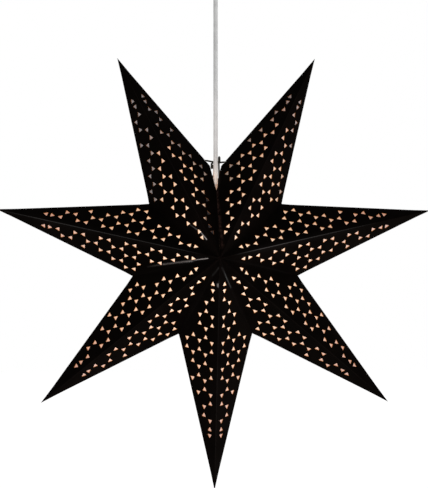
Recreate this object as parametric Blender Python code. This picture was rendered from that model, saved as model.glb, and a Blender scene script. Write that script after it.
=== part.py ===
# Paper star lantern: seven folded paper arms round a lamp, hung by its cord from a ceiling fitting.
# Metres, +Z up. The origin is the middle of the ceiling plate's top face, and the star faces -Y.

import math

import bmesh
import bpy
from mathutils import Matrix, Vector

# Sizes of the star
arm_count = 7
tip_radius = 0.300
lowest_tip_extra = 0.008
tip_drop = 0.005
valley_radius = 0.1145
half_depth = 0.070
star_drop = 0.430
paper_thickness = 0.0004
liner_thickness = 0.0003
touch_gap = 0.0003

# Pattern of triangular holes: rows run along each ridge, and odd rows are shifted by half a pair's pitch
hole_side = 0.0074
hole_step = 0.0121
first_hole = 0.0450
first_row = 0.0108
hole_web = 0.0008
pair_pitch_share = 3
row_span_shares = ((0, 16), (1.5, 14.5), (3, 12), (5.5, 10.5), (6, 7))
end_hole_shares = ((-0.73, -1), (16.70, 1))

# Glued valleys, and the seam left open at the top for the lamp
tab_width = 0.008
tab_start = 0.004
seam_tab_width = 0.003
seam_tab_share = 0.68
seam_closed_share = 0.77
seam_flap_width = 0.0175
seam_flap_start = 0.014
seam_flap_length_share = 0.70
seam_flap_narrowing_share = 0.42
notch_half_width = 0.008
liner_edge = 0.0009
liner_closed_share = 0.66
liner_clip_share = 0.16

# Wire bail that carries the star on the lampholder
wire_radius = 0.0009
wire_rise = 0.0155
wire_reach = 0.026
wire_leg_spacing = 0.0098
wire_bend = 0.0022
wire_kink = 0.006
wire_ring_steps = 12

# Lampholder
holder_radius = 0.014
holder_wall = 0.0018
holder_top = 0.0780
holder_length = 0.0420
holder_lip = 0.0006
lip_height = 0.0036
lip_taper = 0.0018
neck_radius = 0.0060
ledge_radius = 0.0092
cap_dome_height = 0.0115
cap_dome_steps = 5
neck_height = 0.0085
gland_depth = 0.0060
insert_height = 0.0100
insert_boss_radius = 0.0030
insert_boss_height = 0.0040
shell_length = 0.0200
shell_wall = 0.0004

# Small screw-base candle bulb
cap_radius = 0.0068
cap_height = 0.0210
contact_radius = 0.0024
contact_height = 0.0016
bulb_radius = 0.0175
bulb_length = 0.0970
bulb_wall = 0.0008
bulb_neck_radius = 0.0062
bulb_widest_share = 0.42
bulb_fullness_share = 0.8
bulb_neck_steps = 6
bulb_point_steps = 8

# Cord
cord_radius = 0.0030
cord_point_step = 0.015

# Ceiling fitting
plate_thickness = 0.004
boss_radius = 0.005
boss_height = 0.003
cup_radius = 0.040
cup_height = 0.047
cup_wall = 0.0016
cup_hole_radius = 0.0105
cup_lip = 0.003
cup_fullness_share = 0.8
cup_steps = 8
hook_wire_radius = 0.0015
hook_radius = 0.005
hook_centre_drop = 0.015
hook_start = math.radians(-50)
hook_sweep = math.radians(225)
hook_steps = 9
link_wire_radius = 0.0012
link_half_width = 0.0040
link_length = 0.0120
link_end_steps = 8
eye_wire_radius = 0.0010
eye_radius = 0.0032
eye_steps = 16
clamp_radius = 0.0052
clamp_height = 0.0090
clamp_shoulder_share = 0.3

round_steps = 24

# Worked out from the sizes above. Heights are above the star's centre
row_height = hole_step * math.sqrt(3) / 2
wire_height = valley_radius + wire_rise
holder_mouth = holder_top - holder_length
ledge_height = holder_top + cap_dome_height
neck_top = ledge_height + neck_height
step_angle = 2 * math.pi / arm_count
half_angle = step_angle / 2
lowest_arm = (arm_count + 1) // 2
centre = Vector((0, 0, -star_drop))
across_y = Vector((0, 1, 0))


def clear_scene():
    for thing in list(bpy.data.objects):
        bpy.data.objects.remove(thing, do_unlink=True)


def material(name, colour, roughness, metallic=0.0):
    made = bpy.data.materials.new(name)
    made.use_nodes = True
    shader = made.node_tree.nodes["Principled BSDF"]
    shader.inputs["Base Color"].default_value = (*colour, 1)
    shader.inputs["Roughness"].default_value = roughness
    shader.inputs["Metallic"].default_value = metallic
    return made


def pivot(name, place, parent=None):
    made = bpy.data.objects.new(name, None)
    bpy.context.collection.objects.link(made)
    made.parent = parent
    made.location = place - (world_place(parent) if parent else Vector((0, 0, 0)))
    return made


def world_place(thing):
    place = Vector((0, 0, 0))
    while thing:
        place += thing.location
        thing = thing.parent
    return place


def add(name, data, finish, parent, frame):
    """Link a piece whose own axes and place are given by a world matrix."""
    made = bpy.data.objects.new(name, data)
    bpy.context.collection.objects.link(made)
    data.materials.append(finish)
    made.parent = parent
    local = frame.copy()
    local.translation -= world_place(parent)
    made.matrix_local = local
    return made


def smooth(thing, angle=math.radians(35)):
    thing.data.shade_smooth()
    thing.data.set_sharp_from_angle(angle=angle)


def sheet(name, outline, cuts, thickness, finish, parent, frame):
    """A flat card: a filled outline with cut-outs, extruded half its thickness each way."""
    curve = bpy.data.curves.new(name, "CURVE")
    curve.dimensions = "2D"
    curve.fill_mode = "BOTH"
    curve.extrude = thickness / 2
    for loop in (outline, *cuts):
        spline = curve.splines.new("POLY")
        spline.points.add(len(loop) - 1)
        for point, (x, y) in zip(spline.points, loop):
            point.co = (x, y, 0, 1)
        spline.use_cyclic_u = True
    return add(name, curve, finish, parent, frame)


def tube(name, points, radius, finish, parent, place, sides_half=2, closed=False):
    """Round wire or cord along the points, with flat ends unless it closes on itself."""
    curve = bpy.data.curves.new(name, "CURVE")
    curve.dimensions = "3D"
    curve.bevel_depth = radius
    curve.bevel_resolution = sides_half
    curve.use_fill_caps = not closed
    spline = curve.splines.new("POLY")
    spline.points.add(len(points) - 1)
    for point, where in zip(spline.points, points):
        point.co = (*(where - place), 1)
    spline.use_cyclic_u = closed
    return add(name, curve, finish, parent, Matrix.Translation(place))


def lathe(name, profile, finish, parent, place, steps=round_steps):
    """Turn a profile of (radius, height) round Z. Its ends lie on the axis, or it closes on itself."""
    mesh = bpy.data.meshes.new(name)
    shape = bmesh.new()
    rings = []
    for radius, height in profile:
        if radius == 0:
            rings.append([shape.verts.new((0, 0, height))])
            continue
        angles = [2 * math.pi * n / steps for n in range(steps)]
        rings.append([shape.verts.new((radius * math.cos(a), radius * math.sin(a), height)) for a in angles])
    closed = profile[0][0] > 0
    pairs = list(zip(rings, rings[1:] + rings[:1])) if closed else list(zip(rings, rings[1:]))
    for upper, lower in pairs:
        for n in range(steps):
            m = (n + 1) % steps
            corners = [upper[n % len(upper)], upper[m % len(upper)], lower[m % len(lower)], lower[n % len(lower)]]
            shape.faces.new(list(dict.fromkeys(corners)))
    bmesh.ops.recalc_face_normals(shape, faces=shape.faces)
    shape.to_mesh(mesh)
    shape.free()
    made = add(name, mesh, finish, parent, Matrix.Translation(place))
    smooth(made)
    return made


def direction(angle):
    return Vector((math.cos(angle), 0, math.sin(angle)))


def arm_angle(number):
    return math.pi / 2 + step_angle * (number - 0.5)


def arm_tip(number):
    reach = tip_radius + (lowest_tip_extra if number == lowest_arm else 0)
    return centre + direction(arm_angle(number)) * reach - Vector((0, 0, tip_drop))


def valley_corner(number, turn):
    """The corner between an arm and the next one: turn 1 is anticlockwise seen from the front."""
    return centre + direction(arm_angle(number) + turn * half_angle) * valley_radius


def is_seam(number, turn):
    return (number, turn) in ((1, -1), (arm_count, 1))


def line_meeting(p, d, q, e):
    """Where the 2D line through p along d meets the one through q along e."""
    across = d[0] * e[1] - d[1] * e[0]
    share = ((q[0] - p[0]) * e[1] - (q[1] - p[1]) * e[0]) / across
    return (p[0] + d[0] * share, p[1] + d[1] * share)


def inset(loop, distances):
    """Move each edge of an anticlockwise convex loop inwards by its own distance."""
    edges = []
    for (p, q), distance in zip(zip(loop, loop[1:] + loop[:1]), distances):
        run = Vector((q[0] - p[0], q[1] - p[1])).normalized()
        edges.append(((p[0] - run.y * distance, p[1] + run.x * distance), run))
    return [line_meeting(*before, *after) for before, after in zip(edges[-1:] + edges[:-1], edges)]


def edge_distance(point, loop):
    """Least distance from a point inside an anticlockwise convex loop to its edges."""
    least = math.inf
    for p, q in zip(loop, loop[1:] + loop[:1]):
        run = Vector((q[0] - p[0], q[1] - p[1])).normalized()
        least = min(least, run.x * (point[1] - p[1]) - run.y * (point[0] - p[0]))
    return least


def hole_sites():
    """Centre, in steps and rows, of each hole, and which way along the ridge its point looks."""
    sites = [(end, 0, way) for end, way in end_hole_shares]
    for row, (first, last) in enumerate(row_span_shares):
        shift = pair_pitch_share / 2 * (row % 2)
        for pair in range(math.floor(last / pair_pitch_share) + 1):
            for near, way in ((0, 1), (1, -1)):
                site = shift + pair_pitch_share * pair + near
                if first <= site <= last:
                    sites.append((site, row, way))
    return sites


def hole_loops(outline, side):
    """Triangles with their points along the ridge, kept clear of the card's edges."""
    corner_radius = hole_side / math.sqrt(3)
    loops = []
    for step, row, way in hole_sites():
        x = first_hole + hole_step * step
        y = first_row + row_height * row
        if edge_distance((x, y), outline) < corner_radius + hole_web:
            continue
        turns = [math.radians(angle) for angle in (0, 120, 240)]
        loops.append([
            (x + way * corner_radius * math.cos(a), side * (y + way * corner_radius * math.sin(a))) for a in turns
        ])
    return loops


def fold_inset(normal_a, normal_b):
    """How far two square-edged cards stop short of the crease that they share."""
    half_fold = (math.pi - normal_a.angle(normal_b)) / 2
    return paper_thickness / math.tan(half_fold) + touch_gap / 2 / math.sin(half_fold)


def face_normal(apex, tip, corner):
    normal = (tip - apex).cross(corner - apex).normalized()
    return normal if normal.dot(apex - centre) > 0 else -normal


def wire_notch(crease_start, crease_end, frame, side):
    """Points of the small notch at the crease that lets the wire bail's end into the arm."""
    share = (centre.z + wire_height - crease_start.z) / (crease_end.z - crease_start.z)
    crossing = crease_start.lerp(crease_end, share)
    run = (crease_end - crease_start).normalized()
    inward = frame.col[2].to_3d().cross(run)
    inward *= -1 if inward.dot(frame.translation - crossing) < 0 else 1
    clear = wire_radius + touch_gap
    depth = clear / abs(inward.y) + touch_gap
    reach = (clear + touch_gap) / abs(run.z)
    slant = -depth * inward.z / run.z
    places = [run * -reach, run * (slant - reach) + inward * depth]
    places += [run * (slant + reach) + inward * depth, run * reach]
    back = frame.inverted()
    points = [back @ (crossing + place) for place in places]
    return [(p.x, side * p.y) for p in points]


def face_plane(number, turn, facing):
    """An arm's flat face: its plane, x along the ridge, on which side of x it lies, and its three corners."""
    apex = centre + across_y * half_depth * facing
    tip = arm_tip(number)
    corner = valley_corner(number, turn)
    normal = face_normal(apex, tip, corner)
    along = (tip - apex).normalized()
    up = normal.cross(along)
    side = 1 if up.dot(corner - apex) > 0 else -1
    frame = Matrix((along, up, normal)).transposed().to_4x4()
    frame.translation = apex
    return frame, side, (apex, tip, corner)


def panel(number, turn, facing, finish, parent, pierced):
    """One flat face of an arm, between its ridge, its side crease and the glued valley."""
    frame, side, (apex, tip, corner) = face_plane(number, turn, facing)
    normal = frame.col[2].to_3d()
    back = frame.inverted()
    flat = [(p.x, side * p.y) for p in (back @ apex, back @ tip, back @ corner)]
    ridge = fold_inset(normal, face_normal(apex, tip, valley_corner(number, -turn)))
    crease = fold_inset(normal, normal - 2 * normal.y * across_y)
    valley = touch_gap
    outline = inset(flat, (ridge, crease, valley))
    if is_seam(number, turn):
        shut = apex.lerp(corner, seam_closed_share)
        along_crease = notch_half_width / abs(tip.x)
        opened = corner.lerp(tip, along_crease)
        quad = flat[:2] + [(p.x, side * p.y) for p in (back @ opened, back @ shut)]
        outline = inset(quad, (ridge, crease, 0, valley))
    holes = hole_loops(outline, side) if pierced else []
    if is_seam(number, turn):
        notch = [p for p in reversed(wire_notch(corner, tip, frame, side))]
        run = Vector(outline[2]) - Vector(outline[1])
        onto = [line_meeting(p, (run.y, -run.x), outline[1], run) for p in (notch[0], notch[3])]
        outline[2:2] = [onto[0], notch[1], notch[2], onto[1]]
    outline = [(x, side * y) for x, y in outline]
    frame.translation = apex - normal * paper_thickness / 2
    face = "front" if facing < 0 else "back"
    hand = "ccw" if turn > 0 else "cw"
    name = f"arm_{number}_{face}_{hand}"
    return sheet(name, outline, holes, paper_thickness, finish, parent, frame)


def plane_meeting(planes):
    """The point that lies on three planes, each given as (normal, distance)."""
    rows = Matrix([normal for normal, _ in planes])
    return rows.inverted() @ Vector([distance for _, distance in planes])


def liner_corners(number, depth):
    """Corners of the lining a given depth under the arm's faces, measured from the star's centre."""
    tip = arm_tip(number)
    faces = {}
    for facing in (-1, 1):
        for turn in (-1, 1):
            apex = centre + across_y * half_depth * facing
            normal = face_normal(apex, tip, valley_corner(number, turn))
            faces[facing, turn] = (normal, normal.dot(tip - centre) - depth)
    outward = direction(arm_angle(number))
    foot = (outward, liner_edge / math.sin(half_angle) + liner_edge)
    points = {"tip": plane_meeting([faces[-1, -1], faces[-1, 1], faces[1, 1]])}
    for facing in (-1, 1):
        points["ridge", facing] = plane_meeting([faces[facing, -1], faces[facing, 1], foot])
    for turn in (-1, 1):
        edge = direction(arm_angle(number) + turn * (half_angle + math.pi / 2))
        corner = plane_meeting([faces[-1, turn], faces[1, turn], (edge, -liner_edge)])
        points["corner", turn] = corner
        if is_seam(number, turn):
            points["corner", turn] = corner.lerp(points["tip"], liner_clip_share)
            for facing in (-1, 1):
                points["shut", facing, turn] = points["ridge", facing].lerp(corner, liner_closed_share)
    return points


def liner(number, finish, parent):
    """Thin folded lining: the arm's four faces again, just under the card, open at the centre."""
    name = f"arm_{number}_liner"
    shape = bmesh.new()
    top = paper_thickness + touch_gap
    outer = {key: shape.verts.new(place) for key, place in liner_corners(number, top).items()}
    deep = liner_corners(number, top + liner_thickness)
    inner = {key: shape.verts.new(place) for key, place in deep.items()}
    rim = []
    for facing, turn in ((-1, -1), (1, -1), (1, 1), (-1, 1)):
        loop = [("ridge", facing), ("shut", facing, turn), ("corner", turn), "tip"]
        loop = [key for key in loop if key in outer]
        shape.faces.new([outer[key] for key in loop])
        shape.faces.new([inner[key] for key in loop])
        rim += list(zip(loop[:-1], loop[1:-1]))
    for first, second in rim:
        shape.faces.new((outer[first], outer[second], inner[second], inner[first]))
    bmesh.ops.recalc_face_normals(shape, faces=shape.faces)
    mesh = bpy.data.meshes.new(name)
    shape.to_mesh(mesh)
    shape.free()
    return add(name, mesh, finish, parent, Matrix.Translation(centre))


def valley_frame(angle, aside):
    """A plane through the star's centre line: x outwards, y towards the back."""
    outward = direction(angle)
    normal = outward.cross(across_y)
    frame = Matrix((outward, across_y, normal)).transposed().to_4x4()
    frame.translation = centre + normal * aside
    return frame


def valley_edge(depth):
    """The edge of a tab that runs a given depth inside the valley: depth at the axis, and reach."""
    length = math.hypot(half_depth, valley_radius)
    return half_depth - depth * length / valley_radius, valley_radius - depth * length / half_depth


def valley_tab(number, finish, parent):
    """Chevron of folded card that glues an arm to the next, front and back."""
    name = f"valley_tab_{number}_{number + 1}"
    top = paper_thickness + touch_gap
    high, reach = valley_edge(top)
    low, short = valley_edge(top + tab_width)
    loop = []
    for side in (-1, 1):
        limbs = [(tab_start, high * (1 - tab_start / reach)), (reach, 0)]
        limbs = limbs if side < 0 else [limbs[0]]
        loop += [(x, side * y) for x, y in limbs]
    loop += [(tab_start, low * (1 - tab_start / short)), (short, 0)]
    loop += [(tab_start, -low * (1 - tab_start / short))]
    angle = arm_angle(number) + half_angle
    return sheet(name, loop, [], paper_thickness, finish, parent, valley_frame(angle, 0))


def seam_flap(facing, finish, parent):
    """The first arm's glue flap, turned in flat under the lining beside the open seam."""
    frame, side, (apex, _, corner) = face_plane(1, -1, facing)
    flat_corner = frame.inverted() @ corner
    run = Vector((flat_corner.x, side * flat_corner.y)).normalized()
    inward = Vector((run.y, -run.x))
    narrow = seam_flap_width / seam_flap_narrowing_share
    end = math.hypot(half_depth, valley_radius) * seam_flap_length_share
    places = [(seam_flap_start, touch_gap), (end, touch_gap), (end, seam_flap_width), (narrow, seam_flap_width)]
    places += [(seam_flap_start, seam_flap_start * seam_flap_narrowing_share)]
    points = [run * reach + inward * width for reach, width in places]
    depth = paper_thickness * 3 / 2 + liner_thickness + 2 * touch_gap
    frame.translation = apex - frame.col[2].to_3d() * depth
    face = "front" if facing < 0 else "back"
    outline = [(point.x, side * point.y) for point in points]
    return sheet(f"seam_tab_{face}_left", outline, [], paper_thickness, finish, parent, frame)


def seam_tab(facing, finish, parent):
    """The last arm's narrow tab along the open seam."""
    face = "front" if facing < 0 else "back"
    top = paper_thickness + touch_gap
    high, reach = valley_edge(top)
    low, short = valley_edge(top + seam_tab_width)
    end = valley_radius * seam_tab_share
    limbs = [(tab_start, high * (1 - tab_start / reach)), (end, high * (1 - end / reach))]
    limbs += [(end, low * (1 - end / short)), (tab_start, low * (1 - tab_start / short))]
    loop = [(x, facing * y) for x, y in limbs]
    frame = valley_frame(math.pi / 2, -(paper_thickness + touch_gap) / 2)
    return sheet(f"seam_tab_{face}_right", loop, [], paper_thickness, finish, parent, frame)


def rounded(points, radius, steps=4):
    """Replace each inner corner of a path by a short arc."""
    path = [points[0]]
    for before, corner, after in zip(points, points[1:], points[2:]):
        to_before = (before - corner).normalized()
        to_after = (after - corner).normalized()
        half = to_before.angle(to_after) / 2
        bow = min(radius / math.tan(half), (before - corner).length / 2, (after - corner).length / 2)
        hub = corner + (to_before + to_after).normalized() * bow / math.cos(half)
        first = corner + to_before * bow - hub
        last = corner + to_after * bow - hub
        for n in range(steps + 1):
            path.append(hub + first.slerp(last, n / steps) * first.length)
    path.append(points[-1])
    return path


def wire_bail(finish, parent):
    """One bent wire: an end in each end arm, two legs beside the cord and a turn round the neck."""
    leg = wire_leg_spacing / 2
    ring = neck_radius + touch_gap + wire_radius
    rest = ledge_height + touch_gap + wire_radius
    start = math.asin(leg / ring)
    sweep = 2 * math.pi - 2 * start
    turn = [start + sweep * n / wire_ring_steps for n in range(wire_ring_steps + 1)]
    loop = [Vector((math.sin(a) * ring, -math.cos(a) * ring, rest)) for a in turn]
    rise = Vector((0, 0, neck_top - rest))
    foot = [Vector((side * leg, loop[0].y, rest)) for side in (1, -1)]
    top = [Vector((side * leg, 0, wire_height)) for side in (1, -1)]
    kink = Vector((0, 0, wire_kink))
    aside = Vector((wire_bend, 0, 0))
    right = [Vector((wire_reach, 0, wire_height)), top[0] + aside, top[0] + kink + aside / 2]
    right += [top[0] - kink / 2, foot[0] + rise, foot[0]]
    left = [foot[1], foot[1] + rise, top[1], Vector((-wire_reach, 0, wire_height))]
    path = rounded(right, wire_bend)[:-1] + loop + rounded(left, wire_bend)[1:]
    points = [centre + place for place in path]
    return tube("wire_bail", points, wire_radius, finish, parent, centre)


def lampholder(finishes, parent):
    body, brass = finishes
    gland = cord_radius + touch_gap
    cap = [(0, neck_top - gland_depth), (gland, neck_top - gland_depth), (gland, neck_top)]
    cap += [(neck_radius, neck_top), (neck_radius, ledge_height), (ledge_radius, ledge_height)]
    bow = holder_radius - ledge_radius
    for n in range(1, cap_dome_steps):
        angle = math.pi / 2 * n / cap_dome_steps
        cap.append((ledge_radius + bow * math.sin(angle), holder_top + cap_dome_height * math.cos(angle)))
    cap += [(holder_radius, holder_top), (0, holder_top)]
    lathe("lampholder_cap", cap, body, parent, centre)
    top = holder_top - touch_gap
    inside = holder_radius - holder_wall
    lip = holder_radius + holder_lip
    barrel = [(inside, top), (holder_radius, top), (holder_radius, holder_mouth + lip_height + lip_taper)]
    barrel += [(lip, holder_mouth + lip_height), (lip, holder_mouth), (inside, holder_mouth)]
    lathe("lampholder_barrel", barrel, body, parent, centre)
    insert_bottom = top - insert_height
    boss_bottom = insert_bottom - insert_boss_height
    insert = [(0, top), (inside - touch_gap, top), (inside - touch_gap, insert_bottom)]
    insert += [(insert_boss_radius, insert_bottom), (insert_boss_radius, boss_bottom), (0, boss_bottom)]
    lathe("lampholder_insert", insert, body, parent, centre)
    shell_inner = cap_radius + touch_gap
    shell_outer = shell_inner + shell_wall
    shell_top = insert_bottom - touch_gap
    shell = [(shell_inner, shell_top), (shell_outer, shell_top)]
    shell += [(shell_outer, shell_top - shell_length), (shell_inner, shell_top - shell_length)]
    lathe("lampholder_screw_shell", shell, brass, parent, centre)
    return boss_bottom


def bulb(contact_top, finishes, parent):
    glass, brass = finishes
    cap_top = contact_top - contact_height - touch_gap
    contact = [(0, contact_top), (contact_radius / 2, contact_top), (contact_radius, cap_top + touch_gap)]
    lathe("bulb_contact", contact + [(0, cap_top + touch_gap)], brass, parent, centre)
    cap_bottom = contact_top - contact_height - cap_height
    cap = [(0, cap_top), (contact_radius, cap_top), (cap_radius, cap_top - contact_radius)]
    cap += [(cap_radius, cap_bottom), (0, cap_bottom)]
    lathe("bulb_cap", cap, brass, parent, centre)
    top = cap_bottom - touch_gap
    bottom = contact_top - bulb_length
    outline = candle_profile(top, bottom, bulb_neck_radius, bulb_radius)
    hollow = candle_profile(top, bottom + bulb_wall, bulb_neck_radius - bulb_wall, bulb_radius - bulb_wall)
    lathe("bulb_glass", [(0, hollow[-1][1])] + hollow[-2::-1] + outline, glass, parent, centre)


def candle_profile(top, bottom, neck, widest):
    """Candle outline: an S from the neck out to the widest ring, then a long ogive to the point."""
    wide_at = top + (bottom - top) * bulb_widest_share
    points = []
    for n in range(bulb_neck_steps):
        share = n / bulb_neck_steps
        ease = share * share * (3 - 2 * share)
        points.append((neck + (widest - neck) * ease, top + (wide_at - top) * share))
    for n in range(bulb_point_steps):
        share = n / bulb_point_steps
        radius = widest * math.cos(share * math.pi / 2) ** bulb_fullness_share
        points.append((radius, wide_at + (bottom - wide_at) * share))
    return points + [(0, bottom)]


def ceiling_fitting(finishes, parent):
    white, steel = finishes
    rim = cup_radius - cup_wall - touch_gap
    plate = [(0, 0), (rim, 0), (rim, -plate_thickness), (boss_radius, -plate_thickness)]
    plate += [(boss_radius, -plate_thickness - boss_height), (0, -plate_thickness - boss_height)]
    lathe("ceiling_plate", plate, white, parent, Vector((0, 0, 0)))
    flat = cup_hole_radius + cup_lip
    outer, inner = [], []
    for n in range(cup_steps + 1):
        angle = math.pi / 2 * n / cup_steps
        for wall, line in ((0, outer), (cup_wall, inner)):
            reach = (cup_radius - wall - flat) * math.cos(angle) ** cup_fullness_share
            line.append((flat + reach, (wall - cup_height) * math.sin(angle)))
    cup = outer + [(cup_hole_radius, -cup_height), (cup_hole_radius, -cup_height + cup_wall)] + inner[::-1]
    lathe("ceiling_cup", cup, white, parent, Vector((0, 0, 0)))
    hub = Vector((0, 0, -hook_centre_drop))
    top = Vector((0, 0, -plate_thickness - boss_height - touch_gap))
    turns = [hook_start - hook_sweep * n / hook_steps for n in range(hook_steps + 1)]
    bend = [hub + Vector((math.sin(a), 0, math.cos(a))) * hook_radius for a in turns]
    shank = rounded([top, top - Vector((0, 0, hook_wire_radius)), bend[0], bend[1]], hook_wire_radius)
    tube("ceiling_hook", shank[:-1] + bend[1:], hook_wire_radius, steel, parent, top)
    return hub.z - hook_radius


def hanger_link(pin_height, finish, parent):
    """Oval link in the YZ plane, hung on the hook: returns the height of its lower round."""
    top = pin_height + hook_wire_radius + touch_gap + link_wire_radius
    straight = link_length - 2 * link_half_width
    points = []
    for end, offset in ((1, top - link_half_width), (-1, top - link_half_width - straight)):
        for n in range(link_end_steps + 1):
            angle = math.pi * n / link_end_steps
            y = link_half_width * math.cos(angle) * end
            points.append(Vector((0, y, offset + link_half_width * math.sin(angle) * end)))
    place = Vector((0, 0, pin_height))
    tube("hanger_link", points, link_wire_radius, finish, parent, place, closed=True)
    return top - link_length


def cord_clamp(pin_height, finish, parent):
    """Clamp on the cord's end, with an eye that hangs on the link."""
    place = Vector((0, 0, pin_height))
    hub = link_wire_radius + touch_gap + eye_wire_radius - eye_radius
    top = hub - eye_radius
    gland = cord_radius + touch_gap
    bottom = top - clamp_height
    shoulder = clamp_radius * clamp_shoulder_share
    profile = [(0, top), (clamp_radius - shoulder, top), (clamp_radius, top - shoulder), (clamp_radius, bottom)]
    profile += [(gland, bottom), (gland, bottom + clamp_height / 2), (0, bottom + clamp_height / 2)]
    clamp = lathe("cord_clamp", profile, finish, parent, place)
    turns = [2 * math.pi * n / eye_steps for n in range(eye_steps)]
    middle = place + Vector((0, 0, hub))
    ring = [middle + Vector((math.sin(a), 0, math.cos(a))) * eye_radius for a in turns]
    eye = tube("cord_clamp_eye", ring, eye_wire_radius, finish, parent, place, closed=True)
    eye.hide_render = True
    eye.display_type = "WIRE"
    joined = clamp.modifiers.new("eye", "BOOLEAN")
    joined.operation = "UNION"
    joined.solver = "EXACT"
    joined.object = as_mesh(eye)
    return pin_height + bottom + clamp_height / 2 - touch_gap


def as_mesh(thing):
    """A hidden mesh copy of a curve, for a Boolean to use."""
    bpy.context.view_layer.update()
    mesh = bpy.data.meshes.new_from_object(thing.evaluated_get(bpy.context.evaluated_depsgraph_get()))
    copy = bpy.data.objects.new(thing.name + "_solid", mesh)
    bpy.context.collection.objects.link(copy)
    copy.parent = thing.parent
    copy.matrix_local = thing.matrix_local
    copy.hide_render = True
    copy.display_type = "WIRE"
    bpy.data.objects.remove(thing, do_unlink=True)
    return copy


def cord(top, bottom, finish, parent):
    """The taut cord, straight from the ceiling clamp down into the lampholder."""
    steps = round((top - bottom) / cord_point_step)
    points = [Vector((0, 0, top + (bottom - top) * n / steps)) for n in range(steps + 1)]
    tube("cord", points, cord_radius, finish, parent, world_place(parent))


def build():
    clear_scene()
    card = material("black_card", (0.012, 0.012, 0.013), 0.55)
    lining = material("lining_paper", (0.85, 0.72, 0.52), 0.8)
    flex = material("grey_cord", (0.52, 0.54, 0.56), 0.5)
    steel = material("steel_wire", (0.42, 0.38, 0.34), 0.35, 1.0)
    brass = material("brass", (0.72, 0.56, 0.30), 0.3, 1.0)
    plastic = material("black_plastic", (0.03, 0.03, 0.03), 0.4)
    white = material("white_plastic", (0.8, 0.8, 0.78), 0.4)
    glass = material("frosted_glass", (0.95, 0.93, 0.88), 0.4)

    root = pivot("ceiling", Vector((0, 0, 0)))
    pin = ceiling_fitting((white, steel), root)
    swing = pivot("swing_axis", Vector((0, 0, pin)), root)
    lower_pin = hanger_link(pin, steel, swing)
    sway = pivot("sway_axis", Vector((0, 0, lower_pin)), swing)
    cord_top = cord_clamp(lower_pin, steel, sway)
    cord_bottom = centre.z + neck_top - gland_depth + touch_gap
    cord(cord_top, cord_bottom, flex, sway)
    turn = pivot("turn_axis", Vector((0, 0, centre.z + neck_top)), sway)
    contact_top = lampholder((plastic, brass), turn)
    wire_bail(steel, turn)
    travel = pivot("bulb_axis", centre, turn)
    bulb(contact_top - touch_gap, (glass, brass), travel)

    rock = pivot("rock_axis", centre + Vector((0, 0, wire_height)), turn)
    star = pivot("star_centre", centre, rock)
    for number in range(1, arm_count + 1):
        arm = star if number == lowest_arm else pivot(f"arm_{number}_fold_axis", centre, star)
        for facing in (-1, 1):
            for way in (-1, 1):
                panel(number, way, facing, card, arm, facing < 0)
        liner(number, lining, arm)
        if 1 < number <= lowest_arm:
            valley_tab(number - 1, card, arm)
        if lowest_arm <= number < arm_count:
            valley_tab(number, card, arm)
        for facing in (-1, 1):
            if number == 1:
                seam_flap(facing, card, arm)
            if number == arm_count:
                seam_tab(facing, card, arm)


build()
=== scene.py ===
import math

import bpy
import numpy as np
from mathutils import Matrix, Vector
from mathutils.geometry import delaunay_2d_cdt


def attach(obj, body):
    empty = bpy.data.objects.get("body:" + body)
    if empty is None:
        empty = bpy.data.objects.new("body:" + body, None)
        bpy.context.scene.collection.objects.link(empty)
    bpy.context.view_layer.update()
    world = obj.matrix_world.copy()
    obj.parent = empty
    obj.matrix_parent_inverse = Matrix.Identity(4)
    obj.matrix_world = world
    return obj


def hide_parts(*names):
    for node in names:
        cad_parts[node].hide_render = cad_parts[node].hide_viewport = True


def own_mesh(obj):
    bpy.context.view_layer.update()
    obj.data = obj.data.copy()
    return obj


# Paper star lantern, seven folded black card arms round a lamp, hung by its cord. Metres, +Z up, front is -Y.

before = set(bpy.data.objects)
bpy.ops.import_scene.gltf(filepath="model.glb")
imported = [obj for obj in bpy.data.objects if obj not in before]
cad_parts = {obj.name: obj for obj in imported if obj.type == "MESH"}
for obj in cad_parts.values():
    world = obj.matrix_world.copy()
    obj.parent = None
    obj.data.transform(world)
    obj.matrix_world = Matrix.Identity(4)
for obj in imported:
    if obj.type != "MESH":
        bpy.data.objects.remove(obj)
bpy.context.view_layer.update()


# camera, at the place the photograph was taken from
cameraLook = dict(
    aim=(0.0, 0.0, -0.430),      # the star's middle
    azimuth=-4.6, elevation=0.8,  # degrees
    distance=2.0,
    aside=-0.0021, above=0.0174,  # how far the lens axis passes beside the aim
    lens=109.7, sensor=36.0,
)


def makeCamera(look):
    turn, rise = math.radians(look["azimuth"]), math.radians(look["elevation"])
    back = Vector((math.sin(turn) * math.cos(rise), -math.cos(turn) * math.cos(rise), math.sin(rise)))
    right = Vector((0, 0, 1)).cross(back).normalized()
    up = back.cross(right)
    place = Vector(look["aim"]) + back * look["distance"] + right * look["aside"] + up * look["above"]
    lens = bpy.data.cameras.new("photoCamera")
    lens.sensor_fit = "AUTO"
    lens.sensor_width = look["sensor"]
    lens.lens = look["lens"]
    camera = bpy.data.objects.new("photoCamera", lens)
    bpy.context.collection.objects.link(camera)
    camera.matrix_world = Matrix.Translation(place) @ Matrix((right, up, back)).transposed().to_4x4()
    bpy.context.scene.camera = camera
    return camera


makeCamera(cameraLook)
print("camera placed")


# shader maths: a Signal is one socket, and arithmetic on it adds Math nodes
def bothWays(operation):
    # an operator and its reflected form
    return (lambda one, other: one.maths(operation, one, other),
            lambda one, other: one.maths(operation, other, one))


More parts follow.
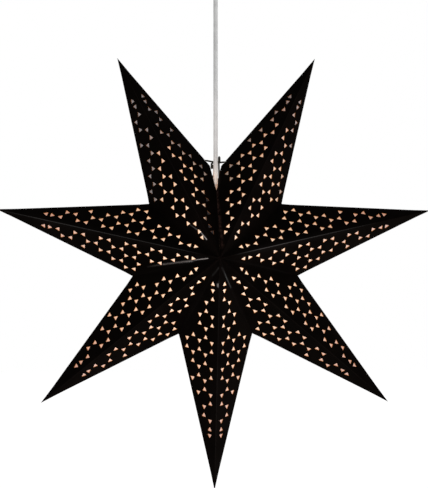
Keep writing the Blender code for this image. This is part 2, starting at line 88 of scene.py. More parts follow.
class Signal:
    __add__, __radd__ = bothWays("ADD")
    __sub__, __rsub__ = bothWays("SUBTRACT")
    __mul__, __rmul__ = bothWays("MULTIPLY")
    __pow__, __rpow__ = bothWays("POWER")

    def __init__(self, tree, socket=None):
        self.tree, self.socket = tree, socket

    def make(self, kind, settings=None, values=None, out=0):
        # any node: its settings first, then values or links for its sockets
        node = self.tree.nodes.new("ShaderNode" + kind)
        for name, value in (settings or {}).items():
            setattr(node, name, value)
        for key, value in (values or {}).items():
            if isinstance(value, Signal):
                self.tree.links.new(value.socket, node.inputs[key])
            else:
                node.inputs[key].default_value = value
        return Signal(self.tree, node.outputs[out])

    def maths(self, operation, first, second=0.0):
        return self.make("Math", {"operation": operation}, {0: first, 1: second})

    def clamp(self, low, high):
        # low..high spread over 0..1, flat outside
        return self.make("MapRange", {"clamp": True, "interpolation_type": "SMOOTHSTEP"},
                         {0: self, 1: low, 2: high, 3: 0.0, 4: 1.0})

    def blend(self, first, second):
        # this value mixes two colours
        return self.make("Mix", {"data_type": "RGBA"}, {0: self, 6: first, 7: second}, out=2)

    def scaled(self, amount):
        # this colour times a value
        return self.make("VectorMath", {"operation": "SCALE"}, {0: self, "Scale": amount})


def newMaterial(name, **fixed):
    # a Principled material: fixed values go straight onto its sockets
    made = bpy.data.materials.new(name)
    made.use_nodes = True
    shader = made.node_tree.nodes["Principled BSDF"]
    for socket, value in fixed.items():
        shader.inputs[socket.replace("_", " ")].default_value = value
    return made, shader, Signal(made.node_tree)


def feed(signal, shader, socket):
    signal.tree.links.new(signal.socket, shader.inputs[socket])


def grain(start, coordinates, scale, detail=2.0, roughness=0.5):
    return start.make("TexNoise", {}, {"Vector": coordinates, "Scale": scale, "Detail": detail,
                                       "Roughness": roughness})


def raised(start, height, strength, distance):
    return start.make("Bump", {}, {"Strength": strength, "Distance": distance, "Height": height})


def objectPlace(start):
    return start.make("TexCoord", out=3)


def heightOf(place):
    return place.make("SeparateXYZ", {}, {0: place}, out=2)


def painted(start, name, out=0):
    # what a mesh attribute holds: 0 the colour, 3 the alpha
    return start.make("Attribute", {"attribute_name": name}, out=out)


def plainMaterial(name, look):
    # patches between two colours, a roughness from the patches and a fine grain, and the grain raised
    made, shader, start = newMaterial(name, **look["fixed"])
    place = objectPlace(start)
    patches, fine = [grain(start, place, *look[key]) for key in ("patches", "fine")]
    feed(patches.clamp(*look["contrast"]).blend(*look["colours"]), shader, "Base Color")
    byPatch, byGrain, least = look["roughness"]
    feed(patches * byPatch + fine * byGrain + least, shader, "Roughness")
    feed(raised(start, fine, *look["bump"]), shader, "Normal")
    return made


# the noises are (scale, detail, roughness)
cordLook = dict(colour=(0.555, 0.553, 0.55, 1), shade=(0.485, 0.483, 0.48, 1), contrast=(0.35, 0.75),
                fine=(900.0, 3.0), broad=(60.0, 2.0), roughness=0.42, roughnessGrain=0.12, bump=(0.12, 0.0002),
                # light that the lit star throws on the cord, and between which heights it dies out
                warm=(0.82, 0.75, 0.69, 1), warmSpan=(-0.325, -0.285),
                glow=(0.225, 0.205, 0.195, 1), glowSpan=(-0.290, -0.170))


def cordMaterial(look):
    made, shader, start = newMaterial("greyFlex", Specular_IOR_Level=0.4, Emission_Strength=1.0)
    place = objectPlace(start)
    fine, broad = [grain(start, place, *look[key]) for key in ("fine", "broad")]
    warmth, lit = [1 - heightOf(place).clamp(*look[key]) for key in ("warmSpan", "glowSpan")]
    grey = broad.clamp(*look["contrast"]).blend(look["colour"], look["shade"])
    feed(warmth.blend(grey, look["warm"]), shader, "Base Color")
    feed(lit.blend((0, 0, 0, 1), look["glow"]), shader, "Emission Color")
    feed(fine * look["roughnessGrain"] + look["roughness"], shader, "Roughness")
    feed(raised(start, fine, *look["bump"]), shader, "Normal")
    return made


# meshes from whole arrays
def welded(points, triangles):
    # joins points that share a place to a micron, and tells which triangles that doesn't close up
    microns = np.rint(points * 1e6).astype(np.int64)
    _, first, same = np.unique(microns, axis=0, return_index=True, return_inverse=True)
    triangles = same.reshape(-1)[triangles]
    a, b, c = triangles.T
    sound = (a != b) & (b != c) & (c != a)
    return first, triangles[sound], sound


def putMesh(name, points, triangles, materials, slots=None, sharp=math.radians(35)):
    mesh = bpy.data.meshes.new(name)
    mesh.from_pydata(points.tolist(), [], triangles.tolist())
    for item in materials:
        mesh.materials.append(item)
    if slots is not None:
        mesh.polygons.foreach_set("material_index", slots.astype(np.int32))
    mesh.shade_smooth()
    mesh.set_sharp_from_angle(angle=sharp)
    made = bpy.data.objects.new(name, mesh)
    bpy.context.collection.objects.link(made)
    return made


def solid(name, points, triangles, material):
    # a closed skin: its signed volume says which way the faces look
    first, triangles, _ = welded(points, triangles)
    points = points[first]
    a, b, c = (points[triangles] - points[0]).transpose(1, 0, 2)
    if np.einsum("ij,ij->", a, np.cross(b, c)) < 0:
        triangles = triangles[:, ::-1]
    return putMesh(name, points, triangles, [material])


def owned(piece, body, slot, *nodes):
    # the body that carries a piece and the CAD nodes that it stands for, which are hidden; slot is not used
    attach(piece, body)
    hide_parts(*nodes)


def gridTriangles(rows, columns, closedRows=False, closedColumns=False):
    # two triangles for every cell of a grid of rows x columns points
    i = np.arange(rows if closedRows else rows - 1)[:, None]
    j = np.arange(columns if closedColumns else columns - 1)[None, :]
    a = i * columns + j
    b = i * columns + (j + 1) % columns
    c = (i + 1) % rows * columns + (j + 1) % columns
    d = (i + 1) % rows * columns + j
    return np.concatenate([np.stack([a, b, c], -1).reshape(-1, 3), np.stack([a, c, d], -1).reshape(-1, 3)])


def eased(share):
    # 0..1 with a level start and end
    share = np.clip(share, 0, 1)
    return share * share * (3 - 2 * share)


def lathe(name, profile, material, steps=96):
    # place = (r cos a, r sin a, z): a profile of (r, z) carried round the upright axis
    r, z = np.array(profile, float).T
    angle = np.linspace(0, 2 * math.pi, steps, endpoint=False)
    points = np.stack([r[:, None] * np.cos(angle), r[:, None] * np.sin(angle), z[:, None] + 0 * angle], -1)
    triangles = gridTriangles(len(r), steps, closedRows=r[0] > 0, closedColumns=True)
    return solid(name, points.reshape(-1, 3), triangles, material)


def reshaped(piece, factor):
    # a point's distance from the axis is multiplied by factor(distance, angle, height above the star's middle)
    mesh = piece.data
    co = np.empty(len(mesh.vertices) * 3)
    mesh.vertices.foreach_get("co", co)
    co = co.reshape(-1, 3)
    away, angle = np.linalg.norm(co[:, :2], axis=1), np.arctan2(co[:, 1], co[:, 0])
    co[:, :2] *= factor(away, angle, co[:, 2] - star["middle"][2])[:, None]
    mesh.vertices.foreach_set("co", co.ravel())
    mesh.update()


def softened(points, radius, steps=4, closed=False):
    # every inner corner of a path is replaced by an arc that touches both its sides
    points = [np.array(p, float) for p in points]
    count = len(points)
    path = [] if closed else [points[0]]
    for n in range(count) if closed else range(1, count - 1):
        corner = points[n]
        before, after = points[n - 1] - corner, points[(n + 1) % count] - corner
        lengths = np.linalg.norm(before), np.linalg.norm(after)
        before, after = before / lengths[0], after / lengths[1]
        half = math.acos(np.clip(before @ after, -1, 1)) / 2
        if half > 1.55:
            path.append(corner)
            continue
        bow = min(radius / math.tan(half), lengths[0] * 0.49, lengths[1] * 0.49)
        inwards = before + after
        inwards /= np.linalg.norm(inwards)
        hub = corner + inwards * bow / math.cos(half)
        start, end = corner + before * bow - hub, corner + after * bow - hub
        sweep = math.pi - 2 * half
        for k in range(steps + 1):
            share = k / steps
            arc = (math.sin((1 - share) * sweep) * start + math.sin(share * sweep) * end) / math.sin(sweep)
            path.append(hub + arc)
    return path if closed else path + [points[-1]]


def tube(name, path, radius, material, sides=20, closed=False):
    # place = path point + radius (side cos a + other sin a), with the sides carried along the path without twist
    path = np.array(path, float)
    ahead = (np.roll(path, -1, 0) - np.roll(path, 1, 0)) if closed else np.gradient(path, axis=0)
    ahead /= np.linalg.norm(ahead, axis=1)[:, None]
    side = np.cross(ahead[0], (0.31, 0.77, 0.55))  # any way that isn't the path's own
    carried = []
    for direction in ahead:
        side = side - direction * (side @ direction)
        side = side / np.linalg.norm(side)
        carried.append(side)
    side = np.array(carried)
    angle = np.linspace(0, 2 * math.pi, sides, endpoint=False)
    ring = side[:, None] * np.cos(angle)[:, None] + np.cross(ahead, side)[:, None] * np.sin(angle)[:, None]
    points = (path[:, None] + radius * ring).reshape(-1, 3)
    triangles = gridTriangles(len(path), sides, closedRows=closed, closedColumns=True)
    if not closed:
        last = len(points)
        points = np.concatenate([points, path[:1], path[-1:]])
        k = np.arange(sides)
        near = np.stack([k * 0 + last, (k + 1) % sides, k], -1)
        base = last - sides
        far = np.stack([k * 0 + last + 1, base + k, base + (k + 1) % sides], -1)
        triangles = np.concatenate([triangles, near, far])
    return solid(name, points, triangles, material)


# the cord, taut from the ceiling clamp down into the lampholder
cord = dict(top=-0.0377, bottom=-0.3377, exit=-0.332, diameter=0.006, points=21, sides=32)
cordPath = np.stack([np.zeros(cord["points"]), np.zeros(cord["points"]),
                     np.linspace(cord["bottom"], cord["top"], cord["points"])], -1)
flex = tube("flex", cordPath, cord["diameter"] / 2, cordMaterial(cordLook), cord["sides"])
owned(flex, "pendant", "grey_cord", "cord")
print("cord laid")


# the star's sizes and folds, the same as the CAD's
star = dict(arms=7, tipRadius=0.300, lowestTipExtra=0.008, tipDrop=0.005, valleyRadius=0.1145,
            halfDepth=0.070, middle=(0.0, 0.0, -0.430), wireHeights={1: 0.1292, 7: 0.1273},
            # how far each tip strays from the even star, to the right and up, as a paper star's do
            tipStrays={1: (-0.0016, 0.0007), 2: (0.0, 0.0023), 3: (0.0005, -0.0024), 4: (-0.0014, -0.0015),
                       5: (0.0008, -0.0052), 6: (0.0004, 0.0010), 7: (0.0043, 0.0022)})
middle = np.array(star["middle"])
depthAxis = np.array([0.0, 1.0, 0.0])
halfStep = math.pi / star["arms"]
lowestArm = (star["arms"] + 1) // 2


def unit(vector):
    return vector / np.linalg.norm(vector)


def outwards(angle):
    return np.array([math.cos(angle), 0.0, math.sin(angle)])


def armAngle(number):
    return math.pi / 2 + 2 * halfStep * (number - 0.5)


def armTip(number):
    reach = star["tipRadius"] + (star["lowestTipExtra"] if number == lowestArm else 0)
    right, up = star["tipStrays"][number]
    return middle + outwards(armAngle(number)) * reach + np.array([right, 0, up - star["tipDrop"]])


def armBody(number):
    return "star" if number == lowestArm else f"arm_{number}"


def foldFlat(piece):
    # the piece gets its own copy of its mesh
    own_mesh(piece)


# faces of card, their folds and holes, and the light that gets to them
cardLook = dict(
    thickness=0.0004,
    rollRadius=0.0010,    # outside radius of the folds
    foldFades=(0.025, 0.020, 0.012),  # length over which a fold sharpens at the tip, the middle and the corner
    curlWidth=0.0050,     # how far from a glued valley the face starts to curl up out of it
    curlGrowth=0.14,      # the curl's width per metre along the valley
    curlFade=0.45,        # share of the valley over which the curl dies out at its outer end
    seamCurl=0.4,         # how much of the curl the open seam has
    bows=(0.0007, -0.0005, 0.0004, -0.0008, 0.0003),  # how far the faces belly out or in
    edgeGap=0.00002, gapStart=0.01,  # between two arms' cards in a valley
    seamShut=0.77, seamOpenWidth=0.008,  # share of the valley that holds, and how far the corner gapes
    wireClear=0.0018,     # radius of the notch for the wire
)
liningLook = dict(
    depth=0.0007, thickness=0.0003, valleyEdge=0.0009, seamShut=0.755,
    notch=((0.066, 0.0020), (0.078, 0.0034), (0.150, 0.0034), (0.168, 0.0)),  # (share of the crease, how far in)
    paper=(0.36, 0.32, 0.315, 1), shade=(0.31, 0.27, 0.265, 1), backed=(0.045, 0.038, 0.040, 1),
    fibre=(700.0, 5.0, 0.65), cloud=(38.0, 2.0, 0.5), roughness=0.9, bump=(0.2, 0.0001),
    # lamplight through the paper, by distance from the lamp, where depth counts for less
    distances=(0.045, 0.075, 0.105, 0.135, 0.165, 0.205, 0.260), depthWeight=0.5,
    red=(1.00, 0.92, 0.82, 0.74, 0.65, 0.52, 0.32),
    green=(0.67, 0.58, 0.49, 0.41, 0.34, 0.23, 0.11),
    blue=(0.42, 0.36, 0.27, 0.22, 0.18, 0.12, 0.05),
    armGlow={1: 0.93, 2: 0.94, 3: 1.04, 4: 1.0, 5: 0.95, 6: 0.88, 7: 0.82}, unevenness=(0.22, 0.30, 0.74),
    # the lampholder's shadow in the top arms
    shadeSlopes={1: (0.085, 0.175), 7: (0.015, 0.090)},
    coneAngles=(11.5, 16), coneHeights=(0.088, 0.104), coneDepth=0.8,
    lamp=(0.0, 0.0, -0.428),
)
flapLook = dict(width=0.0175, depth=0.0013, thickness=0.0004, start=0.014, end=0.094, narrowing=0.42, off=0.0006,
                margins=(0.0025, 0.001), fades=(0.0015, 0.002))  # of its shadow, aside and beyond its end


def lampDistance(points):
    return np.linalg.norm((points - np.array(liningLook["lamp"])) * (1, liningLook["depthWeight"], 1), axis=1)


def shadeOf(points, number):
    # how deep a place lies in the lampholder's shadow: near the star's plane in the top arms, and above the lamp
    look = liningLook
    x, y, z = (points - np.array(look["lamp"])).T
    (low, high), (narrow, wide) = look["coneHeights"], look["coneAngles"]
    angle = np.degrees(np.arctan2(np.abs(x), z))
    shade = np.clip((wide - angle) / (wide - narrow), 0, 1) * np.clip((z - low) / (high - low), 0, 1)
    shade = shade * look["coneDepth"]
    if number in look["shadeSlopes"]:
        low, high = look["shadeSlopes"][number]
        shade = np.maximum(shade, eased((high - np.abs(y) / lampDistance(points)) / (high - low)))
    return shade


def flapCover(face, flat):
    # 1 where the first arm's flap lies under the lining
    if (face.number, face.turn) != (1, -1):
        return np.zeros(len(flat))
    valley, alongValley = np.array(face.distances(flat))[[2, 4]]
    (aside, beyond), (asideFade, beyondFade) = flapLook["margins"], flapLook["fades"]
    wide = np.minimum(flapLook["width"], flapLook["narrowing"] * alongValley) + aside
    past = np.maximum((valley - wide) / asideFade, (alongValley - flapLook["end"] - beyond) / beyondFade)
    return 1 - np.clip(past, 0, 1)


class Face:
    # one flat face of an arm: flat places are (x along the ridge from the star's middle, y across the face)

    def __init__(self, number, turn, facing):
        self.number, self.turn, self.facing = number, turn, facing
        self.apex = middle + depthAxis * star["halfDepth"] * facing
        tip = armTip(number)
        corner, mate = [middle + outwards(armAngle(number) + way * halfStep) * star["valleyRadius"]
                        for way in (turn, -turn)]
        self.normal = self.outward(tip, corner)
        self.along = unit(tip - self.apex)
        self.across = unit((corner - self.apex) - self.along * ((corner - self.apex) @ self.along))
        self.flipped = np.cross(self.along, self.across) @ self.normal < 0
        self.length = np.linalg.norm(tip - self.apex)
        self.tip = np.array([self.length, 0.0])
        self.corner = np.array([(corner - self.apex) @ self.along, (corner - self.apex) @ self.across])
        self.seam = (number, turn) in ((1, -1), (star["arms"], 1))
        self.worn = (number, turn, facing) == (star["arms"], 1, -1)  # the front edge beside the open seam
        wall = np.cross(outwards(armAngle(number) + turn * halfStep), depthAxis)
        others = (self.outward(tip, mate), self.normal * np.array([1, -1, 1]),
                  self.normal - 2 * (self.normal @ wall) * wall)
        self.halfTurns = [math.acos(np.clip(self.normal @ other, -1, 1)) / 2 for other in others]
        self.creaseRun, self.valleyRun = unit(self.corner - self.tip), unit(self.corner)
        self.creaseIn, self.valleyIn = [np.array([run[1], -run[0]]) for run in (self.creaseRun, self.valleyRun)]
        self.creaseIn *= -1 if self.creaseIn @ -self.tip < 0 else 1
        self.creaseLength = np.linalg.norm(self.corner - self.tip)
        self.valleyLength = np.linalg.norm(self.corner)

    def outward(self, tip, corner):
        normal = unit(np.cross(tip - self.apex, corner - self.apex))
        return normal if normal @ (self.apex - middle) > 0 else -normal

    def distances(self, flat):
        # to the ridge, the side crease and the valley, then how far along the crease and the valley that is
        fromTip = flat - self.tip
        return (flat[:, 1], fromTip @ self.creaseIn, flat @ self.valleyIn,
                fromTip @ self.creaseRun, flat @ self.valleyRun)

    def clearance(self, flat):
        # how far flat places are from the nearest fold
        return np.min(self.distances(flat)[:3], axis=0)

    def lifted(self, flat):
        # a direction on the face, or several, in space
        return flat[..., :1] * self.along + flat[..., 1:] * self.across

    def turned(self, triangles):
        return triangles[:, ::-1] if self.flipped else triangles

    def widths(self, x, alongCrease, alongValley):
        # how far from the ridge, the crease and the valley the card bends: nothing at their ends
        roll = cardLook["rollRadius"]
        tip, hub, corner = cardLook["foldFades"]
        ridge = roll * np.clip(np.minimum((self.length - x) / tip, x / hub), 0, 1)
        crease = roll * np.clip(np.minimum(alongCrease / tip, (self.creaseLength - alongCrease) / corner), 0, 1)
        fade = np.clip((self.valleyLength - alongValley) / (self.valleyLength * cardLook["curlFade"]), 0, 1)
        curl = np.minimum(cardLook["curlWidth"], cardLook["curlGrowth"] * np.clip(alongValley, 0, None))
        return (ridge * math.tan(self.halfTurns[0]), crease * math.tan(self.halfTurns[1]),
                curl * fade * fade * (3 - 2 * fade) * (cardLook["seamCurl"] if self.seam else 1.0))

    def place(self, flat, depth, rolled=True):
        # apex + along x + across y - outward depth, with arcs beside the folds and a bow over the whole face
        ridge, crease, valley, alongCrease, alongValley = self.distances(flat)
        point = self.apex + self.lifted(flat)
        # the bow goes with the product of the three distances, made 1 in the middle of the face
        even = 27 * self.length * self.creaseLength * self.valleyLength / (self.length * self.corner[1]) ** 3
        bow = cardLook["bows"][(self.number * 2 + self.facing + self.turn) % len(cardLook["bows"])]
        lift = -float(depth) + bow * np.clip(ridge * crease * valley * even, 0, 1)
        widths = self.widths(flat[:, 0], alongCrease, alongValley)
        inwards = (np.array([0.0, 1.0]), self.creaseIn, self.valleyIn)
        for distance, width, half, inward, bulge in zip((ridge, crease, valley), widths, self.halfTurns, inwards,
                                                        (-1, -1, 1)):
            if bulge > 0 or rolled:
                radius = width / math.tan(half)
                angle = half * (1 - np.clip(distance / np.maximum(width, 1e-9), 0, 1))
                lift = lift + bulge * radius * (1 - np.cos(angle))
                slide = np.where(distance < width, radius * (math.tan(half) - np.sin(angle)) - distance, 0)
                point = point + slide[:, None] * self.lifted(inward)
        return point + lift[:, None] * self.normal

    def settled(self, flat, depth):
        # under the card nothing passes the mitre between two faces
        flat = flat.copy()
        mitres = [depth * math.tan(half) for half in self.halfTurns]
        flat[:, 1] = np.maximum(flat[:, 1], mitres[0])
        flat += np.maximum(mitres[1] - self.distances(flat)[1], 0)[:, None] * self.creaseIn
        end = self.length + (mitres[1] - self.creaseIn[1] * mitres[0]) / self.creaseIn[0]
        flat[flat[:, 1] < mitres[0] - 1e-9] = (end, mitres[0])
        return flat


def spread(start, end, count, ease=0.0):
    # places from start to end, closer together at both ends as ease goes to 1
    share = np.linspace(0, 1, count)
    share = share + ease * ((1 - np.cos(math.pi * share)) / 2 - share)
    return start + (end - start) * (share if np.ndim(start) == 0 else share[:, None])


holeLook = dict(side=0.0068, step=0.0121, first=0.0450, row=0.0108, cornerRadius=0.00045,
                web=0.0015155,  # least card between a hole and a fold
                spans=((0, 16), (1.5, 14.5), (3, 12), (5.5, 10.5), (6, 7)), ends=((-0.73, -1), (16.70, 1)),
                taper=0.90,  # how wide a hole is at the back of the card
                seamSqueeze={1: 0.90, 7: 0.94},  # the rows lie closer together beside the open seam
                # how each sheet was punched: its stretch along the ridge, and how far out it lies
                drifts={1: (0.9835, 0.0008), 2: (0.9753, 0.0003), 3: (0.9917, -0.0012), 4: (0.9950, 0.0011),
                        5: (0.9990, -0.0014), 6: (0.9885, -0.0015), 7: (0.9890, 0.0007)})


def holeCentres():
    # (steps along the ridge, row, which way the point looks), rows alternating by half the pitch of a pair
    sites = [(end, 0, way) for end, way in holeLook["ends"]]
    for row, (first, last) in enumerate(holeLook["spans"]):
        for pair in range(int(last // 3) + 1):
            for near, way in ((0, 1), (1, -1)):
                site = 1.5 * (row % 2) + 3 * pair + near
                if first <= site <= last:
                    sites.append((site, row, way))
    return np.array(sites, float)


def holeLoops(face):
    # three-cornered loops with rounded corners, kept clear of the face's edges
    sites = holeCentres()
    rise = holeLook["step"] * math.sqrt(3) / 2
    flat = np.stack([holeLook["first"] + holeLook["step"] * sites[:, 0], holeLook["row"] + rise * sites[:, 1]], -1)
    keep = face.clearance(flat) > holeLook["side"] / math.sqrt(3) + holeLook["web"]
    flat, way = flat[keep], sites[keep, 2]
    stretch, shift = holeLook["drifts"][face.number]
    flat[:, 0] = flat[:, 0] * stretch + shift
    reach = holeLook["side"] / math.sqrt(3) - 2 * holeLook["cornerRadius"]
    corner = np.radians([0, 120, 240])
    bend = np.radians([-60, 0, 60])
    hub = reach * np.stack([np.cos(corner), np.sin(corner)], -1)[:, None]
    arc = corner[:, None] + bend[None]
    loop = (hub + holeLook["cornerRadius"] * np.stack([np.cos(arc), np.sin(arc)], -1)).reshape(-1, 2)
    squeeze = np.array([1, holeLook["seamSqueeze"][face.number] if face.seam else 1])
    return flat * squeeze, (flat[:, None] + way[:, None, None] * loop[None]) * squeeze


def wireNotch(face):
    # where the wire goes in at the side crease: the wire's round, seen on the face's plane
    tip = armTip(face.number)
    corner = face.apex + face.lifted(face.corner)
    share = (middle[2] + star["wireHeights"][face.number] - tip[2]) / (corner[2] - tip[2])
    run, inward = face.lifted(face.creaseRun), face.lifted(face.creaseIn)
    turn = np.linspace(0, math.pi, 9)
    across = cardLook["wireClear"] * np.sin(turn) / abs(inward[1])
    along = (cardLook["wireClear"] * np.cos(turn) - across * inward[2]) / run[2]
    if along[0] > along[-1]:
        along, across = along[::-1], across[::-1]
    return share * face.creaseLength + along, across


# painted sheen and highlight streaks on ridges and bent faces, and real wear of the print along the folds and the
# seam
wearAndSheenLook = dict(
    # how strong the painted sheen on a front ridge is near the middle and further out,
    # and at what share of its length that begins
    ridges={2: (0.040, 0.060), 6: (0.140, 0.0)}, otherRidges=(0.006, 0.006), changeEnd=0.75,
    ridgeWidth=0.0005, ridgeStart=(0.020, 0.060), tipFade=0.06,
    # painted highlight streaks where the faces bend:
    # arm, side, start (along, across), end, half width, how strong at the start and at the end
    streaks=((2, 1, (0.0160, 0.0052), (0.0345, 0.0132), 0.0006, 0.62, 0.54),
             (2, 1, (0.0370, 0.0152), (0.0740, 0.0320), 0.0012, 0.32, 0.20),
             (2, 1, (0.0740, 0.0320), (0.0960, 0.0430), 0.0012, 0.15, 0.03),
             (1, 1, (0.0308, 0.0054), (0.0432, 0.0086), 0.0006, 0.80, 0.40),
             (1, 1, (0.0432, 0.0086), (0.0610, 0.0196), 0.0006, 0.26, 0.06),
             (4, -1, (0.0135, 0.0020), (0.0250, 0.0109), 0.0010, 0.04, 0.02),
             (4, 1, (0.0135, 0.0040), (0.0430, 0.0226), 0.0010, 0.035, 0.015),
             (4, -1, (0.0360, 0.0022), (0.0380, 0.0022), 0.0014, 0.45, 0.40)),
    seamLine=(0.103, 0.0055, 0.0017),  # reach up the valley, distance at its foot and half width of the worn line
    seamStart=0.012, seamWear=1.4, foldWear=0.06, foldWidth=0.0005,
)


def streaksOn(face):
    return [(np.array(start), np.array(end), *rest) for number, turn, start, end, *rest in wearAndSheenLook["streaks"]
            if (number, turn, -1) == (face.number, face.turn, face.facing)]


def sheenAndWornLines(face):
    # flat (start, end, width) of the painted highlight streaks and of the worn line beside the seam
    found = [streak[:3] for streak in streaksOn(face)]
    if face.worn:
        reach, foot, width = wearAndSheenLook["seamLine"]
        near = wearAndSheenLook["seamStart"]
        start = near * face.valleyRun + foot * (1 - near / reach) * face.valleyIn
        found.append((start, reach * face.valleyRun, width))
    return found


meshLook = dict(
    ridge=(46, 0.7), crease=(34, 0.5), valley=(26, 0.3),  # points along an edge, and how they crowd at its ends
    rolls=(1 / 3, 2 / 3, 1), curls=(0.2, 0.4, 0.6, 0.8, 1), leastCurl=0.00004,  # rows of points beside a fold
    streakRows=(-2.2, -1.1, 0, 1.1, 2.2), streakPoints=30,
    pitch=0.009, edgeClear=0.0065, holeClear=0.0055, lineClear=0.0012, notchClear=0.0005,
)


def faceOutline(face):
    # ridge, side crease and valley as one flat loop, and how far up the valley it goes
    ridge = spread(0, face.length, *meshLook["ridge"])
    gap = cardLook["edgeGap"]
    end = (gap - face.tip @ face.valleyIn) / (face.creaseRun @ face.valleyIn)
    if face.seam:
        end = face.creaseLength * (1 - cardLook["seamOpenWidth"] / abs(armTip(face.number)[0]))
    along = spread(0, end, *meshLook["crease"])
    off = np.zeros(len(along))
    if face.seam:
        notchAlong, notchOff = wireNotch(face)
        before = along < notchAlong[0] - meshLook["notchClear"]
        after = along > notchAlong[-1] + meshLook["notchClear"]
        along, off = [np.concatenate([part[before], notch, part[after]])
                      for part, notch in ((along, notchAlong), (off, notchOff))]
    crease = face.tip + along[:, None] * face.creaseRun + off[:, None] * face.creaseIn
    last = face.valleyLength * cardLook["seamShut"] if face.seam else crease[-1] @ face.valleyRun
    up = spread(last, 0, *meshLook["valley"])[:, None]
    valley = up * face.valleyRun + gap * np.clip(up / cardLook["gapStart"], 0, 1) * face.valleyIn
    ridge = np.stack([ridge, 0 * ridge], -1)
    return np.concatenate([ridge[:-1], crease if face.seam else crease[:-1], valley[:-1]]), last


def foldLines(face, last):
    # flat rows of points where the card bends beside its folds, and along its streaks
    x, s, v = [spread(0, length, *meshLook[edge])[1:-1] for edge, length in
               (("ridge", face.length), ("crease", face.creaseLength), ("valley", face.valleyLength))]
    ridge, crease, curl = [face.widths(*places)[k] for k, places in
                           enumerate(((x, x * 0, x * 0), (s * 0, s, s * 0), (v * 0, v * 0, v)))]
    lines = []
    for share in meshLook["rolls"]:
        lines.append(np.stack([x, ridge * share], -1))
        lines.append(face.tip + s[:, None] * face.creaseRun + (crease * share)[:, None] * face.creaseIn)
    for share in meshLook["curls"]:
        away = np.maximum(curl, meshLook["leastCurl"]) * share + cardLook["edgeGap"]
        lines.append((v[:, None] * face.valleyRun + away[:, None] * face.valleyIn)[v < last])
    for start, end, width in sheenAndWornLines(face):
        run = unit(end - start)
        for row in meshLook["streakRows"]:
            line = spread(start - run * width * 2, end + run * width * 2, meshLook["streakPoints"])
            line = line + np.array([-run[1], run[0]]) * width * row
            lines.append(line[face.clearance(line) > meshLook["lineClear"]])
    return lines


def fillPlaces(face, centres):
    # flat places in a staggered pattern between the folds and the holes
    pitch = meshLook["pitch"]
    columns, rows = np.arange(0, face.length, pitch), np.arange(0, face.corner[1], pitch)
    fill = np.stack(np.meshgrid(columns, rows), -1).reshape(-1, 2)
    fill[:, 0] += pitch / 2 * (np.arange(len(fill)) // len(columns) % 2)
    fill = fill[face.clearance(fill) > meshLook["edgeClear"]]
    return fill[np.min(np.linalg.norm(fill[:, None] - centres[None], axis=2), axis=1) > meshLook["holeClear"]]


def filledIn(outline, loops, lines, fill):
    # triangles between the outline and the loops, through every line and place, as (places, triangles)
    sets = [outline, *loops, *lines, fill]
    starts = np.cumsum([0] + [len(part) for part in sets])
    loopCount = 1 + len(loops)
    faces = [list(range(a, b)) for a, b in zip(starts[:loopCount], starts[1:])]
    edges = [(k, k + 1) for a, b in zip(starts[loopCount:-2], starts[loopCount + 1:-1]) for k in range(a, b - 1)]
    everything = [Vector(p) for p in np.concatenate(sets).tolist()]
    spots, _, made, _, _, owners = delaunay_2d_cdt(everything, edges, faces, 1, 1e-7)
    triangles = np.array([corners for corners, owner in zip(made, owners) if owner == [0]])
    used = np.unique(triangles)
    renumber = np.zeros(len(spots), int)
    renumber[used] = np.arange(len(used))
    return np.array([tuple(spot) for spot in spots])[used], renumber[triangles]


def sidesOf(triangles):
    return np.concatenate([triangles[:, [0, 1]], triangles[:, [1, 2]], triangles[:, [2, 0]]])


def cardPatch(face):
    # one face of card as (outer points, inner points, triangles, which points are on a hole, painted values)
    outline, last = faceOutline(face)
    centres, loops = holeLoops(face)
    flat, triangles = filledIn(outline, loops, foldLines(face, last), fillPlaces(face, centres))
    sides, uses = np.unique(np.sort(sidesOf(triangles), axis=1), axis=0, return_counts=True)
    onRim = np.isin(np.arange(len(flat)), sides[uses == 1])
    away = np.linalg.norm(flat[:, None] - centres[None], axis=2)
    nearest = centres[np.argmin(away, axis=1)]
    onHole = onRim & (np.min(away, axis=1) < holeLook["side"] * 0.62)  # a hole's corners are 0.58 sides out
    under = np.where(onHole[:, None], nearest + (flat - nearest) * holeLook["taper"], flat)
    depth = cardLook["thickness"]
    inner = face.place(face.settled(under, depth), depth, False)
    return face.place(flat, 0), inner, face.turned(triangles), onHole, wearSheenAndLamplight(face, flat)


def wearSheenAndLamplight(face, flat):
    # red: how worn the print is along a fold or the seam; green: how strong the painted sheen is on a ridge or a
    # streak; blue: how much lamplight reaches a hole, painted
    look = wearAndSheenLook
    ridge, crease, valley, _, alongValley = face.distances(flat)
    fromTip = np.clip((face.length - flat[:, 0]) / look["tipFade"], 0, 1)
    wear = np.exp(-(np.minimum(ridge, crease) / look["foldWidth"]) ** 2) * look["foldWear"] * fromTip
    near, far = look["ridgeStart"]
    first, last = look["otherRidges"]
    if face.facing < 0:
        first, last = look["ridges"].get(face.number, (first, last))
    sheenAmount = first + (last - first) * np.clip((flat[:, 0] - far) / (look["changeEnd"] * face.length - far), 0, 1)
    sheen = np.exp(-(ridge / look["ridgeWidth"]) ** 2) * sheenAmount * fromTip
    sheen = sheen * np.clip((flat[:, 0] - near) / (far - near), 0, 1)
    for start, end, width, first, last in streaksOn(face):
        share = np.clip((flat - start) @ (end - start) / np.sum((end - start) ** 2), 0, 1)
        away = np.linalg.norm(flat - start - share[:, None] * (end - start), axis=1)
        sheen = sheen + np.exp(-(away / width) ** 2) * (first + (last - first) * share)
    if face.worn:
        reach, foot, width = look["seamLine"]
        away = valley - foot * (1 - alongValley / reach)
        wear = wear + np.exp(-(away / width) ** 2) * look["seamWear"] * (alongValley > look["seamStart"])
    lit = (1 - shadeOf(face.place(flat, 0), face.number)) * (1 - flapCover(face, flat))
    return np.stack([np.clip(wear, 0, 1), np.clip(sheen, 0, 1), lit, 0 * wear + 1], -1)


